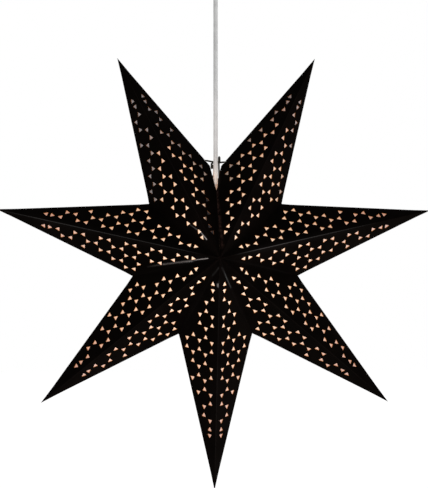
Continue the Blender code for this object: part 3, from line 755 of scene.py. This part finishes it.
def shell(name, patches, materials, attribute):
    # patches joined into one skin with an inside, closed along every open edge; hole walls take the last material
    outer, inner, onHole, value = [np.concatenate([patch[k] for patch in patches]) for k in (0, 1, 3, 4)]
    starts = np.cumsum([0] + [len(patch[0]) for patch in patches[:-1]])
    triangles = np.concatenate([patch[2] + start for patch, start in zip(patches, starts)])
    first, triangles, _ = welded(outer, triangles)
    outer, inner, onHole, value = outer[first], inner[first], onHole[first], value[first]
    n = len(outer)
    edges = sidesOf(triangles)
    a, b = edges[~np.isin(edges[:, 1] * n + edges[:, 0], edges[:, 0] * n + edges[:, 1])].T
    rim = np.concatenate([np.stack([a, a + n, b + n], -1), np.stack([a, b + n, b], -1)])
    kind = np.where(onHole[a] & onHole[b], len(materials) - 1, min(1, len(materials) - 1))
    slots = np.concatenate([np.zeros(2 * len(triangles)), kind, kind])
    points = np.concatenate([outer, inner])
    first, triangles, sound = welded(points, np.concatenate([triangles, triangles[:, ::-1] + n, rim]))
    made = putMesh(name, points[first], triangles, materials, slots[sound])
    layer = made.data.attributes.new(attribute, "FLOAT_COLOR", "POINT")
    layer.data.foreach_set("color", np.concatenate([value, value])[first].astype(np.float32).ravel())
    return made


# card: printed black, satin, with a fine tooth, browner where it is folded and cut,
# with painted sheen, a paler colour and a glossy coat, on some ridges and streaks
cardFinishAndSheen = dict(
    black=(0.0014, 0.0009, 0.0007, 1), faded=(0.0030, 0.0020, 0.0016, 1), fadedSpan=(0.35, 0.7),
    # below: the second colour is the paler colour painted where the sheen lies on ridges and streaks
    fold=(0.042, 0.022, 0.018, 1), paintedSheen=(0.64, 0.52, 0.47, 1), scuffSpan=(0.3, 0.75),
    tooth=(1600.0, 4.0, 0.6), cloud=(22.0, 3.0, 0.6), scuff=(260.0, 3.0, 0.7), bump=(0.35, 0.00006),
    roughness=(0.10, 0.12, 0.31), shine=0.003, sheenRoughness=0.22, sheenPower=1.5,
)
edgeFinish = dict(colour=(0.030, 0.013, 0.009, 1), pale=(0.055, 0.026, 0.017, 1), roughness=0.8)
# hole walls: the orange colours are painted lamplight from the lining, brighter than the card's brown cut edge;
# glow and dim are their painted glow
holeWallAndLamplight = dict(colour=(0.30, 0.12, 0.04, 1), dark=(0.20, 0.08, 0.03, 1), roughness=0.8,
                  glow=(0.42, 0.17, 0.05, 1), dim=(0.25, 0.09, 0.025, 1), strength=0.8)
fibreNoise = (1800.0, 3.0, 0.7)


def cardMaterial(look):
    made, shader, start = newMaterial("blackCard", Specular_IOR_Level=look["shine"], Coat_IOR=3.0,
                                      Coat_Roughness=look["sheenRoughness"])
    place = objectPlace(start)
    tooth, cloud, scuff = [grain(start, place, *look[key]) for key in ("tooth", "cloud", "scuff")]
    wearAndSheen = painted(start, "fold")
    fold, sheenAmount = [start.make("SeparateColor", {}, {0: wearAndSheen}, out=k) for k in (0, 1)]
    colour = (cloud.clamp(*look["fadedSpan"]) * 0.7 + tooth * 0.3).blend(look["black"], look["faded"])
    worn = (fold * scuff.clamp(*look["scuffSpan"])).blend(colour, look["fold"])
    # painted highlight: the sheen channel pales the colour, and further down it lays on a glossy coat
    feed((sheenAmount ** look["sheenPower"]).blend(worn, look["paintedSheen"]), shader, "Base Color")
    byTooth, byCloud, least = look["roughness"]
    feed(tooth * byTooth + cloud * byCloud + least, shader, "Roughness")
    feed(sheenAmount * (0.85 + scuff * 0.3), shader, "Coat Weight")
    feed(raised(start, tooth, *look["bump"]), shader, "Normal")
    return made


def edgeMaterial(look):
    made, shader, start = newMaterial("cutEdge", Specular_IOR_Level=0.2, Roughness=look["roughness"])
    fibre = grain(start, objectPlace(start), *fibreNoise)
    feed(fibre.clamp(0.3, 0.7).blend(look["colour"], look["pale"]), shader, "Base Color")
    return made


def holeMaterial(look):
    # the cut wall of a hole: its orange colour and its glow are painted lamplight that comes through the lining
    made, shader, start = newMaterial("holeWall", Specular_IOR_Level=0.2, Roughness=look["roughness"],
                                      Emission_Strength=look["strength"])
    fibre = grain(start, objectPlace(start), *fibreNoise)
    feed(fibre.clamp(0.3, 0.7).blend(look["colour"], look["dark"]), shader, "Base Color")
    lit = start.make("SeparateColor", {}, {0: painted(start, "fold")}, out=2)
    feed(fibre.clamp(0.2, 0.8).blend(look["glow"], look["dim"]).scaled(lit), shader, "Emission Color")
    made.cycles.emission_sampling = "NONE"
    return made


blackCard, cutEdge, holeWall = cardMaterial(cardFinishAndSheen), edgeMaterial(edgeFinish), holeMaterial(holeWallAndLamplight)
armNumbers = range(1, star["arms"] + 1)
sides = [(turn, facing) for turn in (-1, 1) for facing in (-1, 1)]
faces = {(number, *side): Face(number, *side) for number in armNumbers for side in sides}

for number in armNumbers:
    patches = [cardPatch(faces[number, turn, facing]) for turn, facing in sides]
    arm = shell(f"armCard{number}", patches, [blackCard, cutEdge, holeWall], "fold")
    owned(arm, armBody(number), "black_card",
          *[f"arm_{number}_{name}" for name in ("front_cw", "front_ccw", "back_cw", "back_ccw")])
    foldFlat(arm)
    print("arm", number, "card:", len(arm.data.polygons), "triangles")


# lining: thin paper folded inside each arm, lit from within
def lampGlow(points, number):
    # warm light that falls off with distance from the lamp, and dies in the lampholder's shadow
    away = lampDistance(points)
    lit = (1 - shadeOf(points, number)) * liningLook["armGlow"][number]
    return np.stack([*[np.interp(away, liningLook["distances"], liningLook[name]) * lit
                       for name in ("red", "green", "blue")], np.ones(len(away))], -1)


def liningEdge(face):
    # the lining's flat outline above the ridge, as corners in order along it
    edge = liningLook["valleyEdge"]
    start = np.array([edge / face.valleyIn[0], 0])
    corner = face.tip + (edge - face.tip @ face.valleyIn) / (face.creaseRun @ face.valleyIn) * face.creaseRun
    if not face.seam:
        return np.array([start, corner, face.tip])
    shut = start + (corner - start) * liningLook["seamShut"]
    notch = [corner + (face.tip - corner) * share + face.creaseIn * inset for share, inset in liningLook["notch"]]
    return np.array([start, shut, *notch, face.tip])


def liningPatch(face, alongRidge):
    # flat place = (x, y from the ridge to the outline above it), on a grid
    outline = liningEdge(face)
    top = np.interp(alongRidge, outline[:, 0], outline[:, 1])
    across = spread(0, 1, 13)
    flat = np.stack([np.repeat(alongRidge[:, None], len(across), 1), top[:, None] * across], -1).reshape(-1, 2)
    triangles = face.turned(gridTriangles(len(alongRidge), len(across)))
    depths = liningLook["depth"], liningLook["depth"] + liningLook["thickness"]
    outer, inner = [face.place(face.settled(flat, depth), depth, False) for depth in depths]
    glow = lampGlow(outer, face.number) * (1 - flapCover(face, flat)[:, None])
    return outer, inner, triangles, np.zeros(len(outer), bool), glow


def liningMaterial(look):
    # alpha of the glow is 0 where the flap lies under the paper
    made, shader, start = newMaterial("liningPaper", Specular_IOR_Level=0.1, Roughness=look["roughness"],
                                      Emission_Strength=1.0)
    place = objectPlace(start)
    fibre, cloud = [grain(start, place, *look[key]) for key in ("fibre", "cloud")]
    paper = fibre.clamp(0.2, 0.8).blend(look["shade"], look["paper"])
    feed(painted(start, "glow", 3).blend(look["backed"], paper), shader, "Base Color")
    byFibre, byCloud, least = look["unevenness"]
    feed(painted(start, "glow").scaled(fibre * byFibre + cloud * byCloud + least), shader, "Emission Color")
    feed(raised(start, fibre, *look["bump"]), shader, "Normal")
    made.cycles.emission_sampling = "NONE"
    return made


liningPaper = liningMaterial(liningLook)
for number in armNumbers:
    four = [faces[number, turn, facing] for turn, facing in sides]
    breaks = np.concatenate([liningEdge(face)[:, 0] for face in four])
    alongRidge = np.unique(np.round(np.concatenate([breaks, spread(breaks.min(), four[0].length, 48)]), 7))
    lining = shell(f"lining{number}", [liningPatch(face, alongRidge) for face in four], [liningPaper], "glow")
    owned(lining, armBody(number), "lining_paper", f"arm_{number}_liner")
    foldFlat(lining)
print("linings folded in")


# tabs: strips of card on edge under the glued valleys, and the flaps beside the open seam
tabLook = dict(width=0.008, start=0.004, under=0.00042, meet=0.4, endClear=0.0005,
               slope=0.85,  # how far out the valley gets in a metre
               seamUnder=0.0007, seamWidth=0.003, seamEnd=0.078, seamAside=0.75)


def beam(name, outer, inner, sideways, thickness, material):
    # a flat strip between two lines: at every station its section is the four corners of the strip's thickness
    half = np.asarray(sideways) * thickness / 2
    points = np.stack([outer - half, outer + half, inner + half, inner - half], 1).reshape(-1, 3)
    end = len(points) - 4
    caps = np.array([[0, 2, 1], [0, 3, 2], [end, end + 1, end + 2], [end, end + 2, end + 3]])
    triangles = np.concatenate([gridTriangles(len(outer), 4, closedColumns=True), caps])
    return solid(name, points, triangles, material)


def valleyLine(face, places):
    # the bottom of the curled valley, and the way from it into the star
    run = places[:, None] * face.valleyRun
    wall = np.cross(outwards(armAngle(face.number) + face.turn * halfStep), depthAxis)
    inwards = -unit(np.cross(wall, face.lifted(face.valleyRun)))
    inwards *= 1 if inwards @ (middle - face.apex) > 0 else -1
    return face.place(run, 0), inwards


def valleyTab(number):
    # a chevron: its top follows both valley lines to where they meet, and its foot runs beside it, further in
    look = tabLook
    along = spread(look["start"] / look["slope"], faces[number, 1, -1].valleyLength, 24)
    lines = [valleyLine(faces[number, 1, facing], along) for facing in (-1, 1)]
    top = [line + into * look["under"] for line, into in lines]
    foot = [high + into * look["width"] for high, (_, into) in zip(top, lines)]
    out = outwards(armAngle(number) + halfStep)
    end = middle + out * ((top[0][-1] - middle) @ out - look["under"] * look["meet"])
    footReach = star["valleyRadius"] - (look["width"] + look["under"]) / abs(lines[0][1] @ out)
    keep = [(line - middle) @ out < footReach - look["endClear"] for line in foot]
    outer, inner = [np.concatenate([pair[0][keep[0]], [last], pair[1][keep[1]][::-1]])
                    for pair, last in ((top, end), (foot, middle + out * footReach))]
    return beam(f"valleyTab{number}", outer, inner, np.cross(out, depthAxis), cardLook["thickness"], blackCard)


for number in armNumbers[:-1]:
    tab = valleyTab(number)
    owner = number + 1 if number < lowestArm else number
    owned(tab, armBody(owner), "black_card", f"valley_tab_{number}_{number + 1}")
    foldFlat(tab)


def flapPatch(face):
    # a strip under the lining beside the seam, as wide as the fold lets it be
    along = spread(flapLook["start"], flapLook["end"], 30)[:, None, None]
    share = spread(0, 1, 8)[None, :, None]
    wide = np.minimum(flapLook["width"], flapLook["narrowing"] * along)
    flat = (along * face.valleyRun + (flapLook["off"] + wide * share) * face.valleyIn).reshape(-1, 2)
    triangles = face.turned(gridTriangles(along.size, share.size))
    outer, inner = [face.place(flat, flapLook["depth"] + more, False) for more in (0, flapLook["thickness"])]
    return outer, inner, triangles, np.zeros(len(outer), bool), np.zeros((len(outer), 4))


for facing, side in ((-1, "front"), (1, "back")):
    flap = shell(f"seamFlap_{side}", [flapPatch(faces[1, -1, facing])], [blackCard, cutEdge], "fold")
    owned(flap, "arm_1", "black_card", f"seam_tab_{side}_left")
    foldFlat(flap)
    line, into = valleyLine(faces[7, 1, facing],
                            spread(tabLook["start"] / tabLook["slope"], tabLook["seamEnd"] / tabLook["slope"], 12))
    line = line + into * tabLook["seamUnder"] + np.array([cardLook["thickness"] * tabLook["seamAside"], 0, 0])
    strip = beam(f"seamTab_{side}", line, line + into * tabLook["seamWidth"], (1, 0, 0), cardLook["thickness"],
                 blackCard)
    owned(strip, "arm_7", "black_card", f"seam_tab_{side}_right")
    foldFlat(strip)
print("tabs and flaps in place")


# wire bail: legs beside the cord, a turn round the lampholder's neck, an end in each top arm
wireLook = dict(
    radius=0.0012, legSpacing=0.0098, legTops=(0.1006, 0.1000), bend=0.0011, neck=0.0060, gap=0.0003, ledge=0.0895,
    # bends from the left end to a leg, above the star's middle: behind the cord, a stub up, down in front of it
    left=((-0.0260, 0, 0.1296), (-0.0112, 0, 0.1292), (-0.0048, 0.0046, 0.1282), (0.0044, 0.0046, 0.1278),
          (0.0058, 0.0032, 0.1284), (0.0056, 0.0010, 0.1302), (0.0056, 0.0010, 0.1342),
          (0.0043, -0.0012, 0.1342), (0.0043, -0.0012, 0.1252), (0.0047, -0.0022, 0.1070)),
    # and from the other leg to the right end, further behind the cord
    right=((-0.0049, 0.0010, 0.1050), (-0.0018, 0.0046, 0.1105), (-0.0018, 0.0046, 0.1225),
           (-0.0042, 0.0018, 0.1235), (-0.0042, 0.0004, 0.1195), (-0.0054, 0.0010, 0.1190),
           (-0.0054, 0.0030, 0.1253), (-0.0030, 0.0071, 0.1265), (0.0050, 0.0066, 0.1270), (0.0099, 0, 0.1273),
           (0.0260, 0, 0.1275)),
)
steelLook = dict(fixed=dict(Metallic=0.6, Specular_IOR_Level=0.2), patches=(150.0, 4.0, 0.7), fine=(1400.0, 2.0),
                 colours=((0.042, 0.037, 0.029, 1), (0.022, 0.019, 0.015, 1)), contrast=(0.4, 0.7),
                 roughness=(0.25, 0.10, 0.30), bump=(0.2, 0.00005))


def bailPath(look):
    # straight runs with arcs at their bends, and a turn (ring sin a, -ring cos a) round the lampholder's neck
    leg = look["legSpacing"] / 2
    ring = look["neck"] + look["gap"] + look["radius"]
    rest = look["ledge"] + look["gap"] + look["radius"]
    start = math.asin(leg / ring)
    turn = np.linspace(start, 2 * math.pi - start, 37)
    loop = np.stack([ring * np.sin(turn), -ring * np.cos(turn), 0 * turn + rest], -1)
    y = loop[0][1]
    left = [*look["left"], (leg, y, look["legTops"][0]), (leg, y, rest)]
    right = [(-leg, y, rest), (-leg, y, look["legTops"][1]), *look["right"]]
    return middle + np.array(softened(left, look["bend"], 6)[:-1] + [*loop] + softened(right, look["bend"], 6)[1:])


bail = tube("wireBail", bailPath(wireLook), wireLook["radius"], plainMaterial("dullSteel", steelLook), 16)
owned(bail, "lamp", "steel_wire", "wire_bail")
print("wire bail bent")


# lampholder: moulded cap and barrel, the insert inside and its brass screw shell
holderLook = dict(radius=0.014, wall=0.0018, top=0.0780, mouth=0.0360, lip=0.0146, lipSlope=(0.0036, 0.0054),
                  ledge=0.0092, neck=0.0060, domeTop=0.0895, neckTop=0.0980, gland=0.0033, glandDepth=0.0060,
                  gap=0.0003, edge=0.0005, ribCount=24, ribDepth=0.00035, ribEnds=(0.0085, 0.004),
                  shellInner=0.0071, shellWall=0.0004, shellLength=0.0200, thread=0.00022, threadPitch=0.0033,
                  insertHeight=0.0100, bossRadius=0.0030, bossHeight=0.0040)
plasticLook = dict(fixed=dict(Specular_IOR_Level=0.45), patches=(70.0, 3.0, 0.6), fine=(1100.0, 2.0),
                   colours=((0.012, 0.012, 0.0125, 1), (0.020, 0.020, 0.021, 1)), contrast=(0.35, 0.7),
                   roughness=(0.14, 0.08, 0.24), bump=(0.15, 0.00006))
# painted light: a pale warm colour for the cap's neck, as the lamp inside the star lights it, like the cord's
# lower end
litNeckLook = dict(plasticLook, colours=((0.74, 0.66, 0.62, 1), (0.68, 0.60, 0.56, 1)), roughness=(0.14, 0.08, 0.35))
brassLook = dict(fixed=dict(Metallic=1.0), patches=(240.0, 4.0, 0.7), fine=(1500.0, 2.0),
                 colours=((0.72, 0.55, 0.28, 1), (0.50, 0.35, 0.16, 1)), contrast=(0.4, 0.75),
                 roughness=(0.22, 0.0, 0.18), bump=(0.15, 0.00004))
blackPlastic, litNeckPlastic, brass = [plainMaterial(name, look) for name, look in (
    ("blackPlastic", plasticLook), ("litNeckPlastic", litNeckLook), ("brass", brassLook))]


def lampLathe(name, profile, material, edge=0.0, steps=96, closed=False):
    # a turned piece with its corners rounded to the radius edge, and its heights above the star's middle
    profile = softened(profile, edge, 4, closed) if edge else profile
    return lathe(name, [(r, z + middle[2]) for r, z in profile], material, steps)


def makeHolder(radius, wall, top, mouth, lip, lipSlope, ledge, neck, domeTop, neckTop, gland, glandDepth, gap,
               edge, ribCount, ribDepth, ribEnds, shellInner, shellWall, shellLength, thread, threadPitch,
               insertHeight, bossRadius, bossHeight):
    # dome: (ledge + bow sin a, top + height cos a); thread: the wall goes in by depth (1 - cos) / 2 along the axis
    dome = [(ledge + (radius - ledge) * math.sin(a), top + (domeTop - top) * math.cos(a))
            for a in np.linspace(0, math.pi / 2, 14)[1:-1]]
    cap = [(0, neckTop - glandDepth), (gland, neckTop - glandDepth), (gland, neckTop), (neck, neckTop),
           (neck, domeTop), (ledge, domeTop), *dome, (radius, top), (0, top)]
    capPiece = lampLathe("holderCap", cap, blackPlastic, edge)
    # painted light: the neck above the dome takes the pale warm colour
    capPiece.data.materials.append(litNeckPlastic)
    for face in capPiece.data.polygons:
        face.material_index = int(face.center.z > domeTop + edge + star["middle"][2])
    top -= gap
    inside = radius - wall
    lipTop, lipFoot = mouth + lipSlope[1], mouth + lipSlope[0]
    skin = [(radius, z) for z in spread(top - 0.001, lipTop + 0.001, 24)]
    barrel = [(inside, top), (radius, top), *skin, (radius, lipTop), (lip, lipFoot), (lip, mouth), (inside, mouth)]
    barrelPiece = lampLathe("holderBarrel", barrel, blackPlastic, edge, 192, closed=True)
    low, high = mouth + ribEnds[0], top - ribEnds[1]

    def ribs(away, angle, height):
        # the skin goes in by depth (1 - cos(count a)) / 2 between two heights, easing in at both ends
        share = (height - low) / (high - low)
        ease = np.clip(np.minimum(share, 1 - share) / 0.08, 0, 1) * (away > radius * 0.97)
        return 1 - ribDepth * ease * (1 - np.cos(ribCount * angle)) / 2 / np.maximum(away, 1e-6)

    reshaped(barrelPiece, ribs)
    bottom = top - insertHeight
    insert = [(0, top), (inside - gap, top), (inside - gap, bottom), (bossRadius, bottom),
              (bossRadius, bottom - bossHeight), (0, bottom - bossHeight)]
    insertPiece = lampLathe("holderInsert", insert, blackPlastic, edge)
    shellTop = bottom - gap
    wave = spread(shellTop, shellTop - shellLength, 90)
    outside = shellInner + shellWall - thread * (1 - np.cos(2 * math.pi * (shellTop - wave) / threadPitch)) / 2
    screw = [*zip(outside, wave), *[*zip(outside - shellWall + thread, wave)][::-1]]
    shellPiece = lampLathe("holderScrewShell", screw, brass)
    for piece, node in ((capPiece, "cap"), (barrelPiece, "barrel"), (insertPiece, "insert")):
        owned(piece, "lamp", "black_plastic", f"lampholder_{node}")
    owned(shellPiece, "lamp", "brass", "lampholder_screw_shell")


makeHolder(**holderLook)
print("lampholder turned")


# bulb: frosted candle glass, threaded brass cap and contact
bulbLook = dict(contactTop=0.0634, contactRadius=0.0024, contactHeight=0.0016, capRadius=0.0068, capHeight=0.0210,
                gap=0.0003, length=0.0970, radius=0.0175, neck=0.0062, wall=0.0008, widest=0.42, fullness=0.8,
                pitch=0.0028, thread=0.0006, threadStart=0.0035, threadFade=0.002)
glassLook = dict(glass=(0.52, 0.49, 0.43, 1), shade=(0.47, 0.44, 0.38, 1), glow=(1.0, 0.76, 0.42, 1),
                 dim=(0.62, 0.44, 0.25, 1), dimSpan=(-0.030, 0.012), strength=0.75, frost=(1600.0, 3.0),
                 roughness=(0.1, 0.42), bump=(0.12, 0.00005))


def glassMaterial(look):
    made, shader, start = newMaterial("frostedGlass", Specular_IOR_Level=0.5, Emission_Strength=look["strength"])
    place = objectPlace(start)
    frost = grain(start, place, *look["frost"])
    lit = heightOf(place).clamp(*[star["middle"][2] + height for height in look["dimSpan"]])
    feed(frost.clamp(0.2, 0.8).blend(look["glass"], look["shade"]), shader, "Base Color")
    feed(lit.blend(look["dim"], look["glow"]), shader, "Emission Color")
    feed(frost * look["roughness"][0] + look["roughness"][1], shader, "Roughness")
    feed(raised(start, frost, *look["bump"]), shader, "Normal")
    made.cycles.emission_sampling = "NONE"
    return made


def candle(top, bottom, neck, radius, widest, fullness, count=28):
    # an S out from the neck to the widest ring, then radius = widest cos(share 90 degrees) ^ fullness to the point
    wideAt = top + (bottom - top) * widest
    share = np.linspace(0, 1, count, endpoint=False)
    upper = zip(neck + (radius - neck) * eased(share), top + (wideAt - top) * share)
    share = 1 - (1 - np.linspace(0, 1, 2 * count, endpoint=False)) ** 1.6  # closer together near the point
    lower = zip(radius * np.cos(share * math.pi / 2) ** fullness, wideAt + (bottom - wideAt) * share)
    return [*upper, *lower, (0, bottom)]


def makeBulb(contactTop, contactRadius, contactHeight, capRadius, capHeight, gap, length, radius, neck, wall,
             widest, fullness, pitch, thread, threadStart, threadFade):
    contactFoot = contactTop - contactHeight
    contact = [(0, contactTop), (contactRadius / 2, contactTop), (contactRadius, contactFoot), (0, contactFoot)]
    contactPiece = lampLathe("bulbContact", contact, brass, gap, 48)
    capTop, capBottom = contactFoot - gap, contactFoot - capHeight
    high, low = capTop - contactRadius, capBottom + threadStart
    cap = [(0, capTop), (contactRadius, capTop), *[(capRadius, z) for z in spread(high, low, 120)],
           (capRadius, capBottom), (0, capBottom)]
    capPiece = lampLathe("bulbCap", cap, brass)

    def helix(away, angle, height):
        # the skin goes in by depth (1 - cos) / 2 along the axis, and the phase turns with the angle
        ease = np.clip(np.minimum(height - low, high - height) / threadFade, 0, 1) * (away > capRadius * 0.99)
        return 1 - thread * ease * (1 - np.cos(2 * math.pi * height / pitch + angle)) / 2 / capRadius

    reshaped(capPiece, helix)
    top, bottom = capBottom - gap, contactTop - length
    outside = candle(top, bottom, neck, radius, widest, fullness)
    inside = candle(top, bottom + wall, neck - wall, radius - wall, widest, fullness)
    glass = [(0, inside[-1][1])] + inside[-2::-1] + outside
    glassPiece = lampLathe("bulbGlass", glass, glassMaterial(glassLook))
    for piece, part, slot in ((contactPiece, "contact", "brass"), (capPiece, "cap", "brass"),
                              (glassPiece, "glass", "frosted_glass")):
        owned(piece, "bulb", slot, f"bulb_{part}")


makeBulb(**bulbLook)
print("bulb screwed in")


# ceiling fitting: white canopy and plate, steel hook and link, and the clamp on the cord
ceilingLook = dict(radius=0.040, height=0.047, wall=0.0016, hole=0.0105, lip=0.003, lipEdge=0.0006, fullness=0.8,
                   gap=0.0003, plate=0.004, boss=0.005, bossHeight=0.003, edge=0.0006)
hookLook = dict(wire=0.0015, radius=0.005, drop=0.015, start=-50, sweep=225)  # degrees
linkLook = dict(wire=0.0012, halfWidth=0.0040, length=0.0120)
clampLook = dict(radius=0.0052, height=0.0090, edge=0.0004, eyeWire=0.0010, eyeRadius=0.0032, gland=0.0033)
whiteLook = dict(plasticLook, colours=((0.78, 0.78, 0.765, 1), (0.72, 0.715, 0.69, 1)),
                 roughness=(0.14, 0.08, 0.26))
zincLook = dict(fixed=dict(Metallic=1.0), patches=(420.0, 3.0, 0.6), fine=(1500.0, 2.0),
                colours=((0.50, 0.49, 0.47, 1), (0.34, 0.33, 0.31, 1)), contrast=(0.35, 0.7),
                roughness=(0.2, 0.0, 0.24), bump=(0.15, 0.00005))


def upright(turn, radius, height):
    # an arc (0, height + radius cos a) in the plane across the cord
    return np.stack([radius * np.sin(turn), 0 * turn, height + radius * np.cos(turn)], -1)


def makeCeiling(radius, height, wall, hole, lip, lipEdge, fullness, gap, plate, boss, bossHeight, edge):
    white, zinc = plainMaterial("whitePlastic", whiteLook), plainMaterial("zincSteel", zincLook)
    rim, bossFoot = radius - wall - gap, -plate - bossHeight
    profile = [(0, 0), (rim, 0), (rim, -plate), (boss, -plate), (boss, bossFoot), (0, bossFoot)]
    platePiece = lathe("ceilingPlate", softened(profile, edge, 4), white)
    # cup: (flat + reach cos(a) ^ fullness, -height sin(a)), outside and inside
    flat = hole + lip
    angle = np.linspace(0, math.pi / 2, 40)
    outer, inner = [[*zip(flat + (radius - inset - flat) * np.cos(angle) ** fullness,
                          (inset - height) * np.sin(angle))] for inset in (0, wall)]
    mouth = softened([outer[-1], (hole, -height), (hole, wall - height), inner[-1]], lipEdge, 5)
    cupPiece = lathe("ceilingCup", outer + mouth[1:-1] + inner[::-1], white, 128)

    hook, link, clamp = hookLook, linkLook, clampLook
    top = bossFoot - gap
    turn = np.radians(hook["start"] - hook["sweep"] * np.linspace(0, 1, 40))
    bend = upright(turn, hook["radius"], -hook["drop"])
    shank = softened([(0, 0, top), (0, 0, top - hook["wire"]), bend[0], bend[1]], hook["wire"], 6)
    hookPiece = tube("ceilingHook", [*shank[:-1], *bend[1:]], hook["wire"], zinc, 20)

    linkTop = -hook["drop"] - hook["radius"] + hook["wire"] + gap + link["wire"]
    linkFoot, half = linkTop - link["length"], link["halfWidth"]
    turn = np.linspace(0, math.pi, 24)
    ends = [np.stack([0 * turn, way * half * np.cos(turn), hub + way * half * np.sin(turn)], -1)
            for way, hub in ((1, linkTop - half), (-1, linkFoot + half))]
    linkPiece = tube("hangerLink", np.concatenate(ends), link["wire"], zinc, 16, closed=True)

    eyeHub = linkFoot + link["wire"] + gap + clamp["eyeWire"] - clamp["eyeRadius"]
    clampTop = eyeHub - clamp["eyeRadius"]
    half, foot = clampTop - clamp["height"] / 2, clampTop - clamp["height"]
    reach, gland = clamp["radius"], clamp["gland"]
    shoulder = reach * 0.3
    profile = [(0, clampTop), (reach - shoulder, clampTop), (reach, clampTop - shoulder), (reach, foot),
               (gland, foot), (gland, half), (0, half)]
    clampPiece = lathe("cordClamp", softened(profile, clamp["edge"], 4), zinc, 64)
    turn = np.linspace(0, 2 * math.pi, 48, endpoint=False)
    eyePiece = tube("clampEye", upright(turn, clamp["eyeRadius"], eyeHub), clamp["eyeWire"], zinc, 16, closed=True)
    for piece, body, slot, node in ((platePiece, "ceiling_fitting", "white_plastic", "ceiling_plate"),
                                    (cupPiece, "ceiling_fitting", "white_plastic", "ceiling_cup"),
                                    (hookPiece, "ceiling_fitting", "steel_wire", "ceiling_hook"),
                                    (linkPiece, "hanger", "steel_wire", "hanger_link"),
                                    (clampPiece, "pendant", "steel_wire", "cord_clamp"),
                                    (eyePiece, "pendant", "steel_wire", "cord_clamp")):
        owned(piece, body, slot, node)


makeCeiling(**ceilingLook)
print("ceiling fitting made")


# the stage: pale floor, white backdrop to the camera, soft lamps below the star's height in front and behind
stageLook = dict(floorHeight=-2.60, floorSize=40.0, floorPoints=13, floorColour=(0.80, 0.80, 0.80, 1),
                 floorShade=(0.78, 0.78, 0.78, 1), ambient=0.38, floorLift=0.74)
lamps = dict(
    right=dict(place=(2.4, -1.0, -1.7), size=1.5, watts=54),
    left=dict(place=(-1.7, -1.3, -2.1), size=1.3, watts=27),
    front=dict(place=(0.3, -3.4, -0.7), size=1.6, watts=27),
    back=dict(place=(0.9, 3.2, -0.6), size=1.6, watts=34),
    backLeft=dict(place=(-2.0, 2.2, -0.9), size=1.4, watts=24),
)


def seenRay(start):
    # 1 for what the camera sees directly, in a mirror or through glass
    ray = [start.make("LightPath", out=name)
           for name in ("Is Camera Ray", "Is Glossy Ray", "Is Transmission Ray")]
    return start.maths("MAXIMUM", start.maths("MAXIMUM", ray[0], ray[1]), ray[2])


def makeStage(look):
    # a flat grid for the floor, and an even white world
    half, count = look["floorSize"] / 2, look["floorPoints"]
    x, y = np.meshgrid(spread(-half, half, count), spread(-half, half, count))
    points = np.stack([x, y, np.full_like(x, look["floorHeight"])], -1).reshape(-1, 3)
    made, shader, start = newMaterial("paleFloor", Roughness=0.9, Specular_IOR_Level=0.1)
    cloud = grain(start, objectPlace(start), 2.0, 2.0)
    feed(cloud.blend(look["floorColour"], look["floorShade"]), shader, "Base Color")
    lift = start.make("Emission", {}, {"Strength": seenRay(start) * look["floorLift"]})
    both = start.make("AddShader", {}, {0: Signal(made.node_tree, shader.outputs[0]), 1: lift})
    feed(both, made.node_tree.nodes["Material Output"], "Surface")
    putMesh("floor", points, gridTriangles(count, count), [made])
    world = bpy.data.worlds.new("studio")
    world.use_nodes = True
    bpy.context.scene.world = world
    background = world.node_tree.nodes["Background"]
    background.inputs["Color"].default_value = (1, 1, 1, 1)
    feed(seenRay(Signal(world.node_tree)) * (1 - look["ambient"]) + look["ambient"], background, "Strength")


def makeLamp(name, look):
    light = bpy.data.lights.new(name, "AREA")
    light.energy, light.size = look["watts"], look["size"]
    lamp = bpy.data.objects.new(name, light)
    bpy.context.collection.objects.link(lamp)
    lamp.location = look["place"]
    lamp.rotation_euler = (Vector(look["place"]) - Vector(star["middle"])).to_track_quat("Z", "Y").to_euler()


makeStage(stageLook)
for lampName, lampLook in lamps.items():
    makeLamp(lampName, lampLook)
bpy.context.scene.view_settings.view_transform = "Standard"
print("stage lit")
